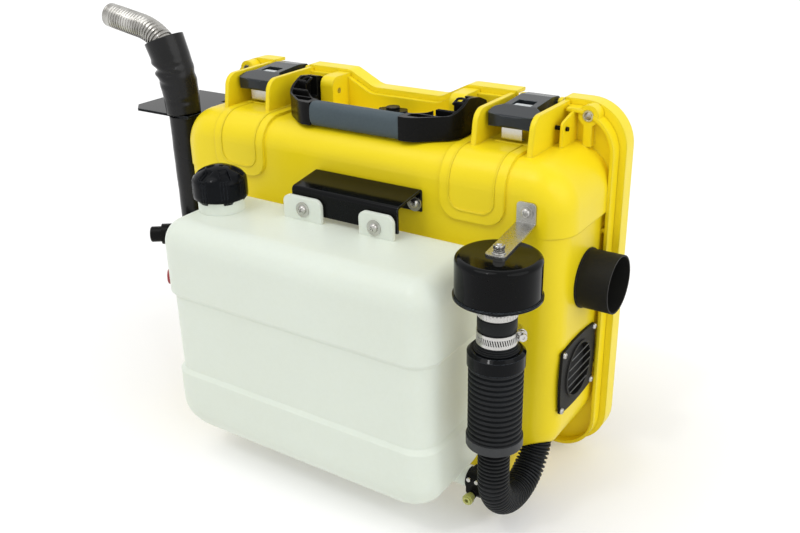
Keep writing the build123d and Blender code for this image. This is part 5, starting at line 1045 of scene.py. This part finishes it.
def make_seals():
    """Soft seals: the lid's, the cap's, and the pump's rubber block."""
    mid_y, mid_z, half_x, half_z, radius = 1.85, 207.5, 239.5, 158.0, 39.5
    frames = []
    for cx, cz, start in CORNERS:
        for step in range(13):
            a = radians(start + 7.5 * step)
            out = Vector((cos(a), 0, sin(a)))
            corner = Vector((cx * (half_x - radius), mid_y, mid_z + cz * (half_z - radius)))
            frames.append((corner + out * radius, out, (0, 1, 0)))
    section = [
        (2.4, 1.2), (2.4, -0.6), (1.9, -1.3), (1.1, -1.75), (0, -1.85), (-1.1, -1.75),
        (-1.9, -1.3), (-2.4, -0.6), (-2.4, 1.2)]
    strip = swept("lid_seal_strip", frames, section)
    soften(strip)
    add("lid_seal_strip", strip, "seal", "lid", "seal_rubber", "lid_seal")
    outline = [(21.2, 308.2), (21.8, 308.0), (23.8, 308.0), (24.4, 308.4), (24.4, 310.0),
               (23.8, 310.4), (21.8, 310.4), (21.2, 310.0)]
    ring = turned("cap_seal_ring", outline, (*FILLER, 0))
    soften(ring)
    add("cap_seal_ring", ring, "seal", "cap_ring", "seal_rubber", "cap_seal")
    outline = block_outline()
    levels = ((52.5, -1.2), (53.4, -0.3), (55, 0), (57.6, -0.2), (59.0, -1.6), (60.4, -2.2),
              (62.6, -2.2), (64.0, -1.6), (65.4, -0.2), (68.2, 0), (69.8, -0.4), (70.5, -1.4))
    points = [
        Vector((-180 + px * (18 + size) / 18, -50 + py * (16 + size) / 16, z)) * MM
        for z, size in levels for px, py in outline
    ]
    block = skin("pump_rubber_block", points, len(outline), (FIRST, LAST))
    soften(block)
    add("pump_rubber_block", block, "seal", "base", "black_rubber", "pump_mount")


def block_outline():
    """Round-cornered outline of the pump's rubber block, about its middle."""
    return [
        (cx * 12 + v[0], cy * 10 + v[1])
        for cx, cy, start in CORNERS for v in arc((0, 0), 6, start, 90, 8)
    ]


def make_arm_tabs():
    """Curled tabs in the hollow ends of the handle's arms."""
    outer, inner, curl = 101.5, 93.5, 4
    for side, name in ((-1, "left"), (1, "right")):
        path = [(side * outer, -58, 399), (side * outer, -50, 402)]
        for a in range(15, 180, 15):
            across, ahead = curl - curl * cos(radians(a)), curl * sin(radians(a))
            path.append((side * outer - side * across, -50 + ahead, 402.5))
        path += [(side * inner, -50, 402), (side * inner, -58, 399)]
        tab = grow(f"handle_tab_{name}", line_mesh("tab_line", path), ribbed, "black_plastic",
                   dict(Pitch=4, Crest=1.3, Groove=1.3, Plain_Radius=1.3), Sides=14, Steps=4)
        settle(tab, "handle", "black_plastic")


def make_slider_ridges():
    """Ridged tops of the latch sliders, seen through the levers' windows."""
    foot, valley, crest, half_width = 399.3, 400.6, 402.0, 9.6
    outline = [(-43.2, foot)]
    for start in (-43.2, -40.6, -38.0, -35.4):
        outline += [(start, valley), (start + 0.4, crest)]
        outline += [(start + 1.6, crest), (start + 2.0, valley)]
    outline += [(-32.8, valley), (-32.8, foot)]
    for middle, name in ((-LATCH_X, "left"), (LATCH_X, "right")):
        ends = (middle - half_width, middle + half_width)
        points = [Vector((x, y, z)) * MM for x in ends for y, z in outline]
        ridges = skin(f"slider_ridges_{name}", points, len(outline), (FIRST, LAST))
        add(f"slider_ridges_{name}", ridges, "slider", f"slider_{name}", "grey_plastic")


# ---------------------------------------------------------------- finishes of the solids
# The names of the solids that each finish goes on
solid_finishes = {
    "yellow_case": "case_base",
    "yellow_lid": "case_lid",
    "seal": "lid_seal cap_seal pump_mount",
    "steel_pin": "hinge_pins latch_pins handle_pins",
    "bright_screw": "button_screws vent_screws drain_screws can_bolt glow_plug padlock_rings",
    "slate": "latch_lever_left latch_lever_right",
    "slider": "latch_slider_left latch_slider_right",
    "stainless":
        "latch_claw_left latch_claw_right hose_clamp exhaust_elbow inlet_grille "
        "exhaust_pipe",
    "strap_steel": "filter_strap",
    "black_cap": "tank_cap",
    "black_plastic":
        "catch_pins handle_frame relief_valve drain_cock drain_lever wall_sockets "
        "power_plug heater_shell_low heater_shell_top blower_rotor outlet_hood "
        "control_unit",
    "black_gloss": "tank_bracket filter_can silencer_top_collar exhaust_plate",
    "black_matt": "hot_air_outlet vent_plate",
    "tank": "fuel_tank",
    "black_rubber": "intake_neck silencer_body intake_hose",
    "grey_collar": "silencer_low_collar",
    "sleeve": "exhaust_sleeve_low exhaust_sleeve_up",
    "grip": "handle_grip",
    "amber": "drain_outlet",
    "blush": "control_plug",
    "paper": "filter_element",
    "cast": "heater_bench motor air_housing heat_exchanger fuel_pump",
}


def dress_solids():
    """Gives every solid its finish, in all its slots."""
    for key, names in solid_finishes.items():
        for name in names.split():
            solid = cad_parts[name]
            if not solid.material_slots:
                solid.data.materials.append(finishes[key])
            for socket in solid.material_slots:
                socket.material = finishes[key]


aim_camera()
light_studio()
lay_floor()
dress_solids()
make_intake_line()
make_exhaust_line()
make_grip()
make_screws()
make_vent_bars()
make_can_bolt()
make_worm_clamp()
make_intake_neck()
make_tank_cap()
make_seals()
make_arm_tabs()
make_slider_ridges()
